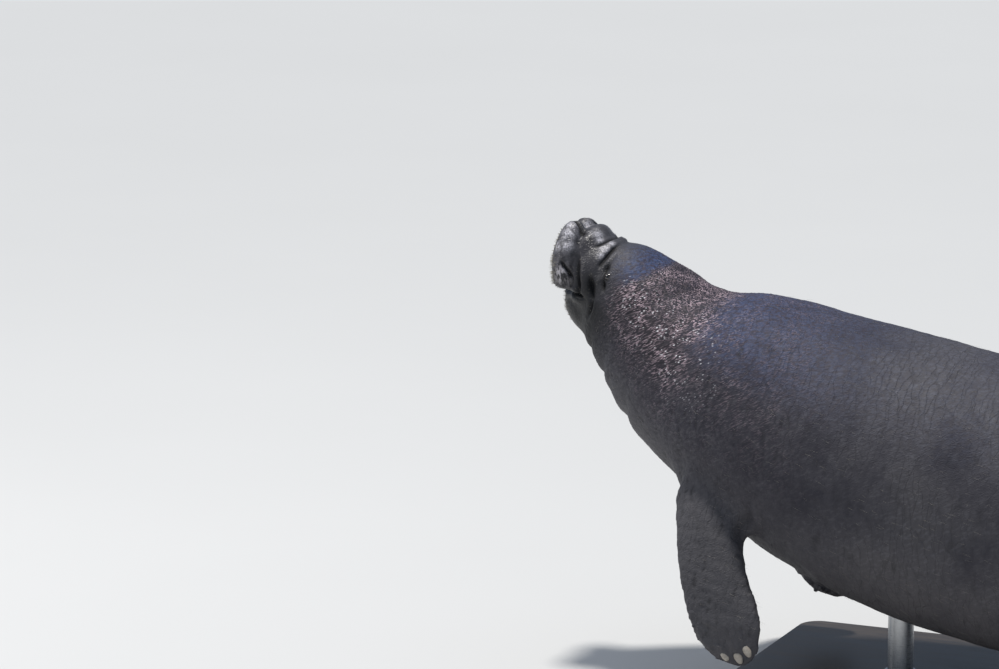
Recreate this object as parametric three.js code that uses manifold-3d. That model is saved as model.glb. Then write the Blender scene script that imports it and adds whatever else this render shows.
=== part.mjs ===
// A life-size West Indian manatee that lifts its head to browse, held on a plain display stand.
// Millimetres, +Z up. The head points to -X and the animal's left side to -Y. The origin is on the
// floor, under the middle of the stand's base.
//
// The animal is first described straight, as if it lay stretched out along X: x runs back from the
// front of the snout, y across, z up from a straight spine line. Every shape is then bent to the
// pose by one function, which turns the spine line up at the neck.

import * as THREE from "three";
import { mergeVertices } from "three/addons/utils/BufferGeometryUtils.js";
import Module from "manifold-3d";

const wasm = await Module();
wasm.setup();

// Driving dimensions of the animal
const BODY_LENGTH = 3000;
const GAP = 0.4; // the thin cut between two neighbouring parts

// The pose: how far the spine line is tipped up, in degrees, and where along it the tip changes
const HEAD_PITCH = 33;
const TRUNK_PITCH = 13;
const TAIL_PITCH = 1;
const NECK_BEND = { from: 330, to: 560 };
const BACK_BEND = { from: 600, to: 2600 };
const SNOUT_PLACE = { x: -1267, z: 987 }; // the spine line's front end in the part's own frame

// The trunk from behind the snout to inside the tail, one line a station: distance from the snout,
// height of the back and of the belly over the spine line, half width, and height of the widest line
const TRUNK = [
  { name: "snout_root", x: 125, back: 103, belly: -62, half: 80, wide: 22 },
  { name: "eye", x: 180, back: 128, belly: -118, half: 113, wide: 18 },
  { name: "cheek", x: 260, back: 138, belly: -158, half: 150, wide: 4 },
  { name: "nape", x: 400, back: 151, belly: -226, half: 203, wide: -24 },
  { name: "shoulder", x: 560, back: 189, belly: -305, half: 262, wide: -58 },
  { name: "armpit", x: 750, back: 199, belly: -376, half: 309, wide: -92 },
  { name: "chest", x: 1000, back: 208, belly: -422, half: 338, wide: -116 },
  { name: "navel", x: 1300, back: 213, belly: -432, half: 345, wide: -122 },
  { name: "loin", x: 1600, back: 201, belly: -394, half: 316, wide: -106 },
  { name: "rump", x: 1900, back: 167, belly: -314, half: 253, wide: -80 },
  { name: "tail_stock", x: 2150, back: 122, belly: -226, half: 190, wide: -52 },
  { name: "tail_root", x: 2330, back: 80, belly: -148, half: 146, wide: -36 },
  { name: "tail_core", x: 2480, back: 36, belly: -96, half: 110, wide: -32 },
  { name: "core_end", x: 2620, back: -8, belly: -56, half: 60, wide: -32 },
];
const TRUNK_RINGS = 30;
const TRUNK_SIDES = 32;
const TRUNK_SQUARENESS = 2.15; // exponent of the cross-section: 2 is an ellipse

// The rounded masses of the snout, jaw and cheeks. Centre and half sizes are straight-pose
// millimetres, half = [along, across, up]. Lean turns a mass about X, in degrees, with its top going
// to the middle, and tilt then turns it about Y, with its front going down. Those with side are made
// twice, mirrored.
const FACE = [
  { name: "snout_core", centre: [122, 0, 26], half: [98, 95, 80], tilt: 8 },
  { name: "snout_roll_front", centre: [78, 0, 42], half: [42, 82, 68] },
  { name: "snout_roll_rear", centre: [121, 0, 40], half: [27, 86, 73], tilt: -8 },
  { name: "lip_pad", centre: [58, 49, 21], half: [38, 54, 82], tilt: 28, lean: 19, side: true },
  { name: "nostril_mound", centre: [47, 26, 55], half: [40, 31, 28], tilt: 24, side: true },
  { name: "jowl", centre: [140, 57, 6], half: [52, 47, 66], tilt: 14, side: true },
  { name: "chin", centre: [166, 0, -63], half: [82, 74, 60], tilt: -14 },
];
const FACE_RINGS = 10;
const FACE_SIDES = 14;

const NOSTRIL = { centre: [22, 29, 92], half: [17, 5, 20], tilt: 52, rings: 6, sides: 8 };
const EYE = { centre: [176, 97, 57], radius: 12, rings: 7, sides: 10 };

// The mouth's slot between the lips, and how far back the lower jaw goes
const MOUTH = { centre: [66, 0, -61], half: [86, 130, 3], tilt: 24 };
const JAW_BACK = 205;

// The tail paddle: where it begins and is widest, its half width there, and half thickness in front
const PADDLE = { from: 2230, wide: 2700, half: 335, thick: 44, height: -32 };
const PADDLE_ROOT_SHARE = 0.25; // of the full width, where the paddle begins
const PADDLE_THINNING = 0.62; // of the thickness, lost on the way to the tip
const PADDLE_TIP_SHARE = 0.02; // of the full width, left at the very tip
const PADDLE_SQUARENESS = 1.75;
const PADDLE_RINGS = 15;
const PADDLE_SIDES = 20;

// A flipper from inside the shoulder to its tip: a point of its middle line, half breadth and half
// thickness at each station
const LIMB = [
  { name: "shoulder", at: [600, 125, -130], breadth: 76, thick: 56 },
  { name: "upper_arm", at: [614, 200, -236], breadth: 84, thick: 54 },
  { name: "elbow", at: [644, 258, -320], breadth: 78, thick: 42 },
  { name: "wrist", at: [690, 298, -405], breadth: 77, thick: 32 },
  { name: "palm", at: [750, 322, -484], breadth: 80, thick: 23 },
  { name: "tip", at: [820, 332, -562], breadth: 56, thick: 12 },
];
const LIMB_RINGS = 12;
const LIMB_SIDES = 14;
const LIMB_TIP_LENGTH = 0.16; // share of the flipper's length that is rounded off at the tip
const LIMB_TIP_SHARE = 0.1; // of the full section, left at the very tip
const HAND_FROM = 0.56; // share of the flipper's length where the hand begins

// The nails on the outer face of a flipper's tip: places as shares of its length and half breadth
const NAIL = { half: [14, 9, 5], rings: 5, sides: 7 };
const NAIL_SINK = { across: 0.78, out: 0.72 }; // how near a nail's middle comes to the skin
const NAIL_PLACES = [
  { along: 0.915, across: -0.62 },
  { along: 0.95, across: -0.12 },
  { along: 0.94, across: 0.4 },
];

// Where the thin cuts lie along the spine line, and the part that each one ends
const PARTS = [
  { name: "muzzle", to: 108 },
  { name: "head", to: 300 },
  { name: "neck", to: 520 },
  { name: "trunk_front", to: 950 },
  { name: "trunk_middle", to: 1500 },
  { name: "trunk_rear", to: 2000 },
  { name: "tail_stock", to: 2330 },
  { name: "tail_paddle", to: BODY_LENGTH + 100 },
];
const SECTION_STEP = 40; // spacing of the rings of the solid that holds one part
const SECTION_HEIGHTS = { from: -700, to: 400 };
const SECTION_WIDTH = 2000;
const JAW_BLOCK = { length: 600, width: 600, depth: 400 }; // the block that holds the lower jaw
const WRIST_BLOCK = 500; // side of the cube that holds the hand
const TALLEST = 1500; // more than the height of anything over the floor
const WELD = 1e-3; // vertices nearer than this are one

// The stand
const BASE = { length: 1560, width: 820, thickness: 30, corner: 60, bevel: 4 };
const ROD = { radius: 30, sides: 24, insert: 45, places: { front: -395, rear: 480 } };

const radians = THREE.MathUtils.degToRad;

// A smooth curve through [x, value] points.
function curveThrough(points) {
  const last = points.length - 1;
  const slopes = points.map((point, i) => {
    const before = points[Math.max(i - 1, 0)];
    const after = points[Math.min(i + 1, last)];
    return (after[1] - before[1]) / (after[0] - before[0]);
  });
  return (x) => {
    const past = points.findIndex((point) => point[0] > x);
    const i = past < 0 ? last - 1 : Math.max(past - 1, 0);
    const span = points[i + 1][0] - points[i][0];
    const t = THREE.MathUtils.clamp((x - points[i][0]) / span, 0, 1);
    const fromStart = (1 + 2 * t) * (1 - t) ** 2 * points[i][1];
    const fromEnd = t * t * (3 - 2 * t) * points[i + 1][1];
    const startTurn = t * (1 - t) ** 2 * span * slopes[i];
    const endTurn = t * t * (t - 1) * span * slopes[i + 1];
    return fromStart + fromEnd + startTurn + endTurn;
  };
}

// The spine line's tip at x, in radians.
function pitchAt(x) {
  const neck = 1 - THREE.MathUtils.smoothstep(x, NECK_BEND.from, NECK_BEND.to);
  const back = 1 - THREE.MathUtils.smoothstep(x, BACK_BEND.from, BACK_BEND.to);
  const tip = TAIL_PITCH + (TRUNK_PITCH - TAIL_PITCH) * back + (HEAD_PITCH - TRUNK_PITCH) * neck;
  return radians(tip);
}

// The bent spine line, one point every SPINE_STEP.
const SPINE_START = -200;
const SPINE_STEP = 4;
const spine = [];
{
  const headPitch = pitchAt(0);
  let x = SNOUT_PLACE.x + SPINE_START * Math.cos(headPitch);
  let z = SNOUT_PLACE.z - SPINE_START * Math.sin(headPitch);
  for (let s = SPINE_START; s <= BODY_LENGTH + 200; s += SPINE_STEP) {
    spine.push([x, z]);
    const middle = pitchAt(s + SPINE_STEP / 2);
    x += SPINE_STEP * Math.cos(middle);
    z -= SPINE_STEP * Math.sin(middle);
  }
}

// Takes a straight-pose point to its place in the pose.
function posePoint(v) {
  const at = (v.x - SPINE_START) / SPINE_STEP;
  const i = THREE.MathUtils.clamp(Math.floor(at), 0, spine.length - 2);
  const t = at - i;
  const x = spine[i][0] + (spine[i + 1][0] - spine[i][0]) * t;
  const z = spine[i][1] + (spine[i + 1][1] - spine[i][1]) * t;
  const pitch = pitchAt(v.x);
  return v.set(x + v.z * Math.sin(pitch), v.y, z + v.z * Math.cos(pitch));
}

// Applies a function to every vertex of a geometry.
function reshape(geometry, change) {
  const position = geometry.attributes.position;
  const v = new THREE.Vector3();
  for (let i = 0; i < position.count; i += 1) {
    change(v.fromBufferAttribute(position, i));
    position.setXYZ(i, v.x, v.y, v.z);
  }
  return geometry;
}

function solidFrom(geometry) {
  const bare = geometry.clone();
  bare.deleteAttribute("normal");
  bare.deleteAttribute("uv");
  const merged = mergeVertices(bare, WELD);
  const mesh = new wasm.Mesh({
    numProp: 3,
    vertProperties: new Float32Array(merged.attributes.position.array),
    triVerts: new Uint32Array(merged.index.array),
  });
  return new wasm.Manifold(mesh);
}

function geometryFrom(solid) {
  const mesh = solid.getMesh();
  const geometry = new THREE.BufferGeometry();
  geometry.setAttribute("position", new THREE.BufferAttribute(mesh.vertProperties, 3));
  geometry.setIndex(new THREE.BufferAttribute(mesh.triVerts, 1));
  const flat = geometry.toNonIndexed();
  flat.computeVertexNormals();
  return flat;
}

// The straight-pose geometry as a solid in the pose.
const posed = (geometry) => solidFrom(reshape(geometry, posePoint));

const union = (solids) => solids.reduce((all, one) => all.add(one));

// The same geometry on the animal's other side.
function mirrored(geometry) {
  const other = geometry.clone().scale(1, -1, 1).toNonIndexed();
  const position = other.attributes.position;
  const a = new THREE.Vector3();
  const b = new THREE.Vector3();
  for (let i = 0; i < position.count; i += 3) {
    a.fromBufferAttribute(position, i);
    b.fromBufferAttribute(position, i + 1);
    position.setXYZ(i, b.x, b.y, b.z);
    position.setXYZ(i + 1, a.x, a.y, a.z);
  }
  return other;
}

const onSide = (geometry, side) => (side === "left" ? mirrored(geometry) : geometry);

// A sphere stretched to half sizes, leaned and tilted, and grown all over.
function massGeometry({ centre, half, tilt = 0, lean = 0 }, rings, sides, grow = 0) {
  const geometry = new THREE.SphereGeometry(1, sides, rings);
  geometry.scale(...half.map((size) => size + grow));
  geometry.rotateX(radians(lean));
  geometry.rotateY(radians(-tilt));
  return geometry.translate(...centre);
}

// A box given by its centre and half sizes, turned as a mass is.
function blockGeometry({ centre, half, tilt = 0 }) {
  const geometry = new THREE.BoxGeometry(...half.map((size) => 2 * size));
  geometry.rotateY(radians(-tilt));
  return geometry.translate(...centre);
}

// A closed loft on a cylinder's grid: place gets the vertex, the share t along it, and how far
// across and up the vertex lies on a rounded section of half size 1.
function loftGeometry(rings, sides, squareness, place) {
  const geometry = new THREE.CylinderGeometry(1, 1, 1, sides, rings);
  const power = 2 / squareness;
  return reshape(geometry, (v) => {
    const across = Math.sign(v.x) * Math.abs(v.x) ** power;
    const up = Math.sign(v.z) * Math.abs(v.z) ** power;
    const rim = Math.hypot(v.x, v.z) < 0.5 ? 0 : 1; // 0 at the middle of the loft's two ends
    place(v, 0.5 - v.y, across * rim, up * rim);
  });
}

function trunkGeometry(grow = 0) {
  const lines = {};
  for (const key of ["back", "belly", "half", "wide"]) {
    lines[key] = curveThrough(TRUNK.map((station) => [station.x, station[key]]));
  }
  const front = TRUNK[0].x;
  const length = TRUNK[TRUNK.length - 1].x - front;
  return loftGeometry(TRUNK_RINGS, TRUNK_SIDES, TRUNK_SQUARENESS, (v, t, across, up) => {
    const x = front + length * t;
    const wide = lines.wide(x);
    const reach = grow + (up > 0 ? lines.back(x) - wide : wide - lines.belly(x));
    v.set(x, (lines.half(x) + grow) * across, wide + reach * up);
  });
}

// The paddle's half width and half thickness, as shares, at the share u of its length.
function paddleShares(u) {
  const widest = (PADDLE.wide - PADDLE.from) / (BODY_LENGTH - PADDLE.from);
  const opening = Math.sin((Math.min(u / widest, 1) * Math.PI) / 2);
  const toTip = Math.max(u - widest, 0) / (1 - widest);
  const closing = Math.sqrt(Math.max(1 - toTip ** 2, PADDLE_TIP_SHARE ** 2));
  return {
    width: (PADDLE_ROOT_SHARE + (1 - PADDLE_ROOT_SHARE) * opening) * closing,
    thickness: (1 - PADDLE_THINNING * u) * Math.sqrt(closing),
  };
}

function paddleGeometry() {
  const length = BODY_LENGTH - PADDLE.from;
  const widest = (PADDLE.wide - PADDLE.from) / length;
  return loftGeometry(PADDLE_RINGS, PADDLE_SIDES, PADDLE_SQUARENESS, (v, t, across, up) => {
    const rounding = Math.sin((Math.max(2 * t - 1, 0) * Math.PI) / 2);
    const u = widest * Math.min(2 * t, 1) + (1 - widest) * rounding;
    const share = paddleShares(u);
    const thick = PADDLE.thick * share.thickness * up;
    v.set(PADDLE.from + length * u, PADDLE.half * share.width * across, PADDLE.height + thick);
  });
}

// The flipper's frame at the share t of its length: centre, half sizes and directions.
const limbLine = new THREE.CatmullRomCurve3(LIMB.map(({ at }) => new THREE.Vector3(...at)));
const limbShare = LIMB.map((station, i) => i / (LIMB.length - 1));
const limbBreadth = curveThrough(LIMB.map(({ breadth }, i) => [limbShare[i], breadth]));
const limbThick = curveThrough(LIMB.map(({ thick }, i) => [limbShare[i], thick]));

function limbFrame(t) {
  const along = limbLine.getTangent(t);
  const across = new THREE.Vector3(1, 0, 0);
  across.addScaledVector(along, -across.dot(along)).normalize();
  const out = across.clone().cross(along).normalize();
  return { centre: limbLine.getPoint(t), along, across, out };
}

function limbGeometry() {
  return loftGeometry(LIMB_RINGS, LIMB_SIDES, 2, (v, t, across, up) => {
    const { centre, across: sideways, out } = limbFrame(t);
    const toTip = Math.max(t - 1 + LIMB_TIP_LENGTH, 0) / LIMB_TIP_LENGTH;
    const closing = Math.sqrt(Math.max(1 - toTip ** 2, LIMB_TIP_SHARE ** 2));
    v.copy(centre);
    v.addScaledVector(sideways, limbBreadth(t) * closing * across);
    v.addScaledVector(out, -limbThick(t) * closing * up);
  });
}

// One nail in the straight pose, lying on the flipper's outer face near the tip.
function nailGeometry({ along, across }, grow) {
  const frame = limbFrame(along);
  const turn = new THREE.Matrix4().makeBasis(frame.along, frame.out, frame.across);
  const edge = Math.sqrt(1 - across ** 2);
  const place = frame.centre.clone();
  place.addScaledVector(frame.across, limbBreadth(along) * across * NAIL_SINK.across);
  place.addScaledVector(frame.out, limbThick(along) * edge * NAIL_SINK.out);
  turn.setPosition(place);
  const [long, wide, thick] = NAIL.half;
  const geometry = new THREE.SphereGeometry(1, NAIL.sides, NAIL.rings);
  return geometry.scale(long + grow, thick + grow, wide + grow).applyMatrix4(turn);
}

// The solid that holds the part between two places on the spine line.
function sectionSolid(from, to) {
  const height = SECTION_HEIGHTS.to - SECTION_HEIGHTS.from;
  const length = to - from - GAP;
  const steps = Math.ceil(length / SECTION_STEP);
  const geometry = new THREE.BoxGeometry(length, SECTION_WIDTH, height, steps, 1, 1);
  geometry.translate((from + to) / 2, 0, SECTION_HEIGHTS.from + height / 2);
  return posed(geometry);
}

// The solid that holds the lower jaw: below the mouth's plane and in front of JAW_BACK.
function jawSolid(grow) {
  const { length, width, depth } = JAW_BLOCK;
  const geometry = new THREE.BoxGeometry(length, width, depth);
  geometry.translate(0, 0, -depth / 2 + grow);
  geometry.rotateY(radians(-MOUTH.tilt));
  geometry.translate(...MOUTH.centre);
  const front = new THREE.BoxGeometry(length, width, 2 * depth);
  front.translate(JAW_BACK + grow - length / 2, 0, 0);
  return posed(geometry).intersect(posed(front));
}

function baseGeometry() {
  const { length, width, thickness, corner, bevel } = BASE;
  const x = length / 2 - bevel;
  const y = width / 2 - bevel;
  const r = corner - bevel;
  const outline = new THREE.Shape();
  outline.absarc(x - r, y - r, r, 0, Math.PI / 2);
  outline.absarc(r - x, y - r, r, Math.PI / 2, Math.PI);
  outline.absarc(r - x, r - y, r, Math.PI, 1.5 * Math.PI);
  outline.absarc(x - r, r - y, r, 1.5 * Math.PI, 2 * Math.PI);
  const settings = {
    depth: thickness - 2 * bevel,
    bevelThickness: bevel,
    bevelSize: bevel,
    bevelSegments: 1,
    curveSegments: 6,
  };
  return new THREE.ExtrudeGeometry(outline, settings).translate(0, 0, bevel);
}

// A rod from the base's top to a height, grown all round.
function rodSolid(x, top, grow = 0) {
  const foot = BASE.thickness + GAP;
  const height = top - foot + grow;
  const radius = ROD.radius + grow;
  const geometry = new THREE.CylinderGeometry(radius, radius, height, ROD.sides);
  return solidFrom(geometry.rotateX(Math.PI / 2).translate(x, 0, foot + height / 2));
}

// How high the animal's underside is over the point x on the base's middle line.
function undersideAt(solid, x) {
  const probe = new THREE.CylinderGeometry(ROD.radius, ROD.radius, TALLEST, ROD.sides);
  const column = solidFrom(probe.rotateX(Math.PI / 2).translate(x, 0, TALLEST / 2));
  return solid.intersect(column).boundingBox().min[2];
}

const skin = new THREE.MeshStandardMaterial({ color: 0x45464c, roughness: 0.5, metalness: 0 });
const wetFace = new THREE.MeshStandardMaterial({ color: 0x4a4a50, roughness: 0.35, metalness: 0 });
const eyeMaterial = new THREE.MeshStandardMaterial({ color: 0x0d0a09, roughness: 0.08, metalness: 0 });
const nailMaterial = new THREE.MeshStandardMaterial({ color: 0x7d7466, roughness: 0.4, metalness: 0 });
const baseMaterial = new THREE.MeshStandardMaterial({ color: 0x2b2b2d, roughness: 0.55, metalness: 0 });
const rodMaterial = new THREE.MeshStandardMaterial({ color: 0x8d9094, roughness: 0.35, metalness: 1 });

const group = new THREE.Group();

function addPart(name, solid, material) {
  const mesh = new THREE.Mesh(geometryFrom(solid), material);
  mesh.name = name;
  group.add(mesh);
}

// The flesh without the flippers
const face = FACE.flatMap((mass) => {
  const geometry = massGeometry(mass, FACE_RINGS, FACE_SIDES);
  return mass.side ? [geometry, mirrored(geometry)] : [geometry];
});
let flesh = union([trunkGeometry(), ...face, paddleGeometry()].map(posed));

// Mouth, nostrils, eyes and the rods' sockets
const nostril = massGeometry(NOSTRIL, NOSTRIL.rings, NOSTRIL.sides);
flesh = flesh.subtract(posed(blockGeometry(MOUTH)));
flesh = flesh.subtract(union([posed(mirrored(nostril)), posed(nostril)]));
for (const side of ["left", "right"]) {
  const ball = { centre: EYE.centre, half: [EYE.radius, EYE.radius, EYE.radius] };
  const socket = massGeometry(ball, EYE.rings, EYE.sides, GAP);
  const eye = massGeometry(ball, EYE.rings, EYE.sides);
  flesh = flesh.subtract(posed(onSide(socket, side)));
  addPart(`eye_${side}`, posed(onSide(eye, side)), eyeMaterial);
}
for (const [name, x] of Object.entries(ROD.places)) {
  const top = undersideAt(flesh, x) + ROD.insert;
  flesh = flesh.subtract(rodSolid(x, top, GAP));
  addPart(`stand_rod_${name}`, rodSolid(x, top), rodMaterial);
}

// The lower jaw, then the lengths of the head, neck, trunk and tail
addPart("lower_jaw", flesh.intersect(jawSolid(-GAP / 2)), wetFace);
flesh = flesh.subtract(jawSolid(GAP / 2));
let from = SPINE_START;
for (const { name, to } of PARTS) {
  addPart(name, flesh.intersect(sectionSolid(from, to)), name === "muzzle" ? wetFace : skin);
  from = to;
}

// The flippers, each in an arm and a hand, with their nails
const trunkClear = posed(trunkGeometry(GAP));
for (const side of ["left", "right"]) {
  const limb = posed(onSide(limbGeometry(), side)).subtract(trunkClear);
  const wrist = limbFrame(HAND_FROM);
  const cut = new THREE.BoxGeometry(WRIST_BLOCK, WRIST_BLOCK, WRIST_BLOCK);
  const turn = new THREE.Matrix4().makeBasis(wrist.along, wrist.out, wrist.across);
  turn.setPosition(wrist.centre.clone().addScaledVector(wrist.along, WRIST_BLOCK / 2));
  const beyond = (shift) => {
    const solid = cut.clone().translate(shift, 0, 0).applyMatrix4(turn);
    return posed(onSide(solid, side));
  };
  let hand = limb.intersect(beyond(GAP / 2));
  NAIL_PLACES.forEach((place, i) => {
    hand = hand.subtract(posed(onSide(nailGeometry(place, GAP), side)));
    addPart(`nail_${side}_${i + 1}`, posed(onSide(nailGeometry(place, 0), side)), nailMaterial);
  });
  addPart(`flipper_${side}_arm`, limb.subtract(beyond(-GAP / 2)), skin);
  addPart(`flipper_${side}_hand`, hand, skin);
}

addPart("stand_base", solidFrom(baseGeometry()), baseMaterial);

export default group;
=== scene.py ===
"""The looks of a life-size manatee display model: skin, eyes, nails, bristles, hairs and stand.

The animal is described straight, in millimetres: x runs back from the snout's front, y across, and
z up from a straight spine line. Shapes made that way are bent to the pose by one function, and
come out in metres. The head points to -X and the animal's left side to -Y. What is described on
the side where y is positive is mirrored to the other one.
"""
import math

import bmesh
import bpy
import numpy as np
from mathutils import Matrix, Vector


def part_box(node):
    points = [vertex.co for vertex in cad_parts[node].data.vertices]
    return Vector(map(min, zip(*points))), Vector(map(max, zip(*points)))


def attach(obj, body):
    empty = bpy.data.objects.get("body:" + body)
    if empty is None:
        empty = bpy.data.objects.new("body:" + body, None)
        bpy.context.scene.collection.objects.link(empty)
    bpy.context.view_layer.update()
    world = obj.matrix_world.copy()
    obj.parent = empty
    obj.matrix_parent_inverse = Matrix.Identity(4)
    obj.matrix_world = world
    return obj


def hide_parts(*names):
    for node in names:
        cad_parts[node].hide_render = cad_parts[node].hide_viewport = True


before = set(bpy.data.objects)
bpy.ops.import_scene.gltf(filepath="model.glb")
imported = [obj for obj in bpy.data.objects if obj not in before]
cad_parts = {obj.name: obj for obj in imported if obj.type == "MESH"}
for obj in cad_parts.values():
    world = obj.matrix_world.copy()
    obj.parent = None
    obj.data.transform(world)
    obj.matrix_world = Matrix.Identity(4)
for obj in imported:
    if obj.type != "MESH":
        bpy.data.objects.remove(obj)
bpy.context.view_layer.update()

MM = 0.001
TINY = 1e-9

# The pose: how far the spine line is tipped up, in degrees, and where along it the tip changes
HEAD_PITCH, TRUNK_PITCH, TAIL_PITCH = 33, 13, 1
NECK_BEND = (330, 560)
BACK_BEND = (600, 2600)
SNOUT_PLACE = (-1267, 987)
BODY_LENGTH = 3000
SPINE_START, SPINE_END, SPINE_STEP = -200, BODY_LENGTH + 200, 4

# The trunk: distance from the snout, heights of the back and belly over the spine line, half width,
# and height of the widest line
TRUNK = {
    "x": (125, 180, 260, 400, 560, 750, 1000, 1300, 1600, 1900, 2150, 2330, 2480, 2620),
    "back": (103, 128, 138, 151, 189, 199, 208, 213, 201, 167, 122, 80, 36, -8),
    "belly": (-62, -118, -158, -226, -305, -376, -422, -432, -394, -314, -226, -148, -96, -56),
    "half": (80, 113, 150, 203, 262, 309, 338, 345, 316, 253, 190, 146, 110, 60),
    "wide": (22, 18, 4, -24, -58, -92, -116, -122, -106, -80, -52, -36, -32, -32),
}
TRUNK_SQUARENESS = 2.15

# The rounded masses of the snout and jaw: centre, half sizes, tilt and lean in degrees, and how
# wide each melts into the rest
FACE = (
    ((122, 0, 26), (98, 95, 80), 8, 0, 12),
    ((78, 0, 42), (42, 82, 68), 0, 0, 9),
    ((121, 0, 40), (27, 86, 73), -8, 0, 9),
    ((58, 49, 21), (38, 54, 82), 28, 19, 6),
    ((47, 26, 55), (40, 31, 28), 24, 0, 7),
    ((140, 57, 6), (52, 47, 66), 14, 0, 16),
    ((166, 0, -63), (82, 74, 60), -14, 0, 12),
)
FACE_END = 330

# The tail paddle
PADDLE = {"from": 2230, "wide": 2700, "half": 335, "thick": 44, "height": -32}
PADDLE_ROOT_SHARE = 0.25
PADDLE_THINNING = 0.62
PADDLE_TIP_SHARE = 0.02
PADDLE_SQUARENESS = 1.75
PADDLE_MELT = 34
PADDLE_NEAR = PADDLE["from"] - 60

# The flipper: points of its middle line, half breadth, half thickness, and a box round it
LIMB_AT = (
    (600, 125, -130),
    (614, 200, -236),
    (644, 258, -320),
    (690, 298, -405),
    (750, 322, -484),
    (820, 332, -562),
)
LIMB_BREADTH = (76, 84, 78, 77, 80, 56)
LIMB_THICK = (56, 54, 42, 32, 23, 12)
LIMB_TIP_LENGTH, LIMB_TIP_SHARE = 0.16, 0.1
LIMB_MELT = 42
LIMB_SAMPLES = 80
LIMB_BOX = ((470, 40, -660), (930, 420, 40))

EYE_CENTRE, EYE_RADIUS = (176, 97, 57), 12
MOUTH_POINT, MOUTH_TILT, MOUTH_CORNER = (66, 0, -61), 24, 160

# The skin's mesh: the grid's step and two corners of its half where y is positive, how far the mesh
# is evened out, and the parts where it is made finer
GRID_STEP = 7
GRID_LOW, GRID_HIGH = (-12, 0, -644), (3016, 378, 244)
GRID_SLAB = 24
RELAX_ROUNDS, RELAX_SHARE = 4, 0.6
FINE_TO, FINER_TO, FINEST_BY_EYE = 560, 300, 25
FINE_RIM_FROM, FINE_RIM_SHARE, FINE_TIP_FROM = 2330, 0.78, 2900
FINE_HAND = ((-1000, 270, -1000), (960, 1000, -300))

# Where along x each kind of surface or colour rises from nothing, and where it falls back to it
SNOUT, TAIL = (-200, -100), (4000, 4100)
REGIONS = {
    "rolls": (380, 700, 2350, 2600),
    "paddle ribs": (2420, 2640, *TAIL),
    "pad": (*SNOUT, 70, 96),
    "pebbles": (150, 235, 640, 900),
    "wrinkles": (250, 500, *TAIL),
    "blush": (185, 235, 560, 950),
    "blush thins": (400, 540, *TAIL),
    "blush edge rises": (200, 292, *TAIL),
    "face": (*SNOUT, 130, 230),
    "back": (128, 150, *TAIL),
    "back fades": (420, 1000, *TAIL),
    "trunk": (520, 1150, *TAIL),
    "lined": (340, 640, *TAIL),
    "glints": (170, 260, 420, 640),
    "low shade": (104, 130, 190, 300),
    "chin": (*SNOUT, 170, 290),
    "belly": (150, 400, *TAIL),
    "pad bristles": (*SNOUT, 78, 100),
    "chin bristles": (*SNOUT, 110, 150),
    "head hairs": (60, 110, 300, 420),
    "body hairs": (300, 420, *TAIL),
    "tail hairs thin": (2400, 2800, *TAIL),
}

# Noises and scattered pits: how wide a hill is, along x, y and z where they differ, and the seed
NOISES = {
    "fold wander": (26, 3),
    "lip waves": ((16, 13, 40), 61),
    "rolls": ((170, 260, 260), 11),
    "small rolls": ((52, 150, 150), 12),
    "knuckles": ((60, 60, 16), 21),
    "paddle ribs": (46, 31),
    "pad pits": (5.0, 41),
    "lobe folds": ((15, 15, 4.5), 42),
    "pad wrinkles": ((30, 8, 30), 45),
    "pad dents": (13, 46),
    "pebbles": (5.6, 43),
    "strokes": ((13, 9, 4.2), 44),
    "wrinkles": ((17, 60, 60), 51),
    "wrinkle strength": (90, 52),
    "grain": (13, 53),
}


def smoothstep(x, a, b):
    """Rises smoothly from 0 at a to 1 at b."""
    t = np.clip((x - a) / (b - a), 0, 1)
    return t * t * (3 - 2 * t)


def fade(x, a, b):
    """Falls smoothly from 1 at a to 0 at b."""
    return 1 - smoothstep(x, a, b)


def region(x, name):
    """How much of a named region is at x, from 0 to 1."""
    rise_from, rise_to, fall_from, fall_to = REGIONS[name]
    return smoothstep(x, rise_from, rise_to) * fade(x, fall_from, fall_to)


def bump(distance, width=1):
    """A round hill, 1 at distance 0. Three distances a row make one hill."""
    square = (distance / width) ** 2
    return np.exp(-(square.sum(1) if square.ndim == 2 else square))


def hill(p, centre, width):
    return bump(p - np.array(centre, float), width)


def distance_to(p, centre):
    return np.linalg.norm(p - np.array(centre, float), axis=1)


def in_box(p, low, high):
    return (p > low).all(1) & (p < high).all(1)


def mirrored(p):
    """The points brought to the side where y is positive."""
    return np.stack([p[:, 0], np.abs(p[:, 1]), p[:, 2]], 1)


def unit(v):
    """Vectors, one a row, at length 1."""
    return v / (np.linalg.norm(v, axis=-1, keepdims=True) + TINY)


def turned_axes(degrees):
    """Axes whose first one is tipped up from x by an angle in the side view."""
    c, s = math.cos(math.radians(degrees)), math.sin(math.radians(degrees))
    return np.array([[c, 0, -s], [0, 1, 0], [s, 0, c]])


STROKE_TURN = turned_axes(61)
LOBE_TURN = turned_axes(-52)


def curve_through(places, values):
    """A smooth curve through values at places, as a function."""
    xs, vs = np.array(places, float), np.array(values, float)
    slopes = np.empty_like(vs)
    slopes[1:-1] = (vs[2:] - vs[:-2]) / (xs[2:] - xs[:-2])
    slopes[0] = (vs[1] - vs[0]) / (xs[1] - xs[0])
    slopes[-1] = (vs[-1] - vs[-2]) / (xs[-1] - xs[-2])

    def at(x):
        i = np.clip(np.searchsorted(xs, x, side="right") - 1, 0, len(xs) - 2)
        span = xs[i + 1] - xs[i]
        t = np.clip((x - xs[i]) / span, 0, 1)
        ends = (1 + 2 * t) * (1 - t) ** 2 * vs[i] + t * t * (3 - 2 * t) * vs[i + 1]
        turns = t * (1 - t) ** 2 * slopes[i] + t * t * (t - 1) * slopes[i + 1]
        return ends + turns * span

    return at


# The pose

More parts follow.
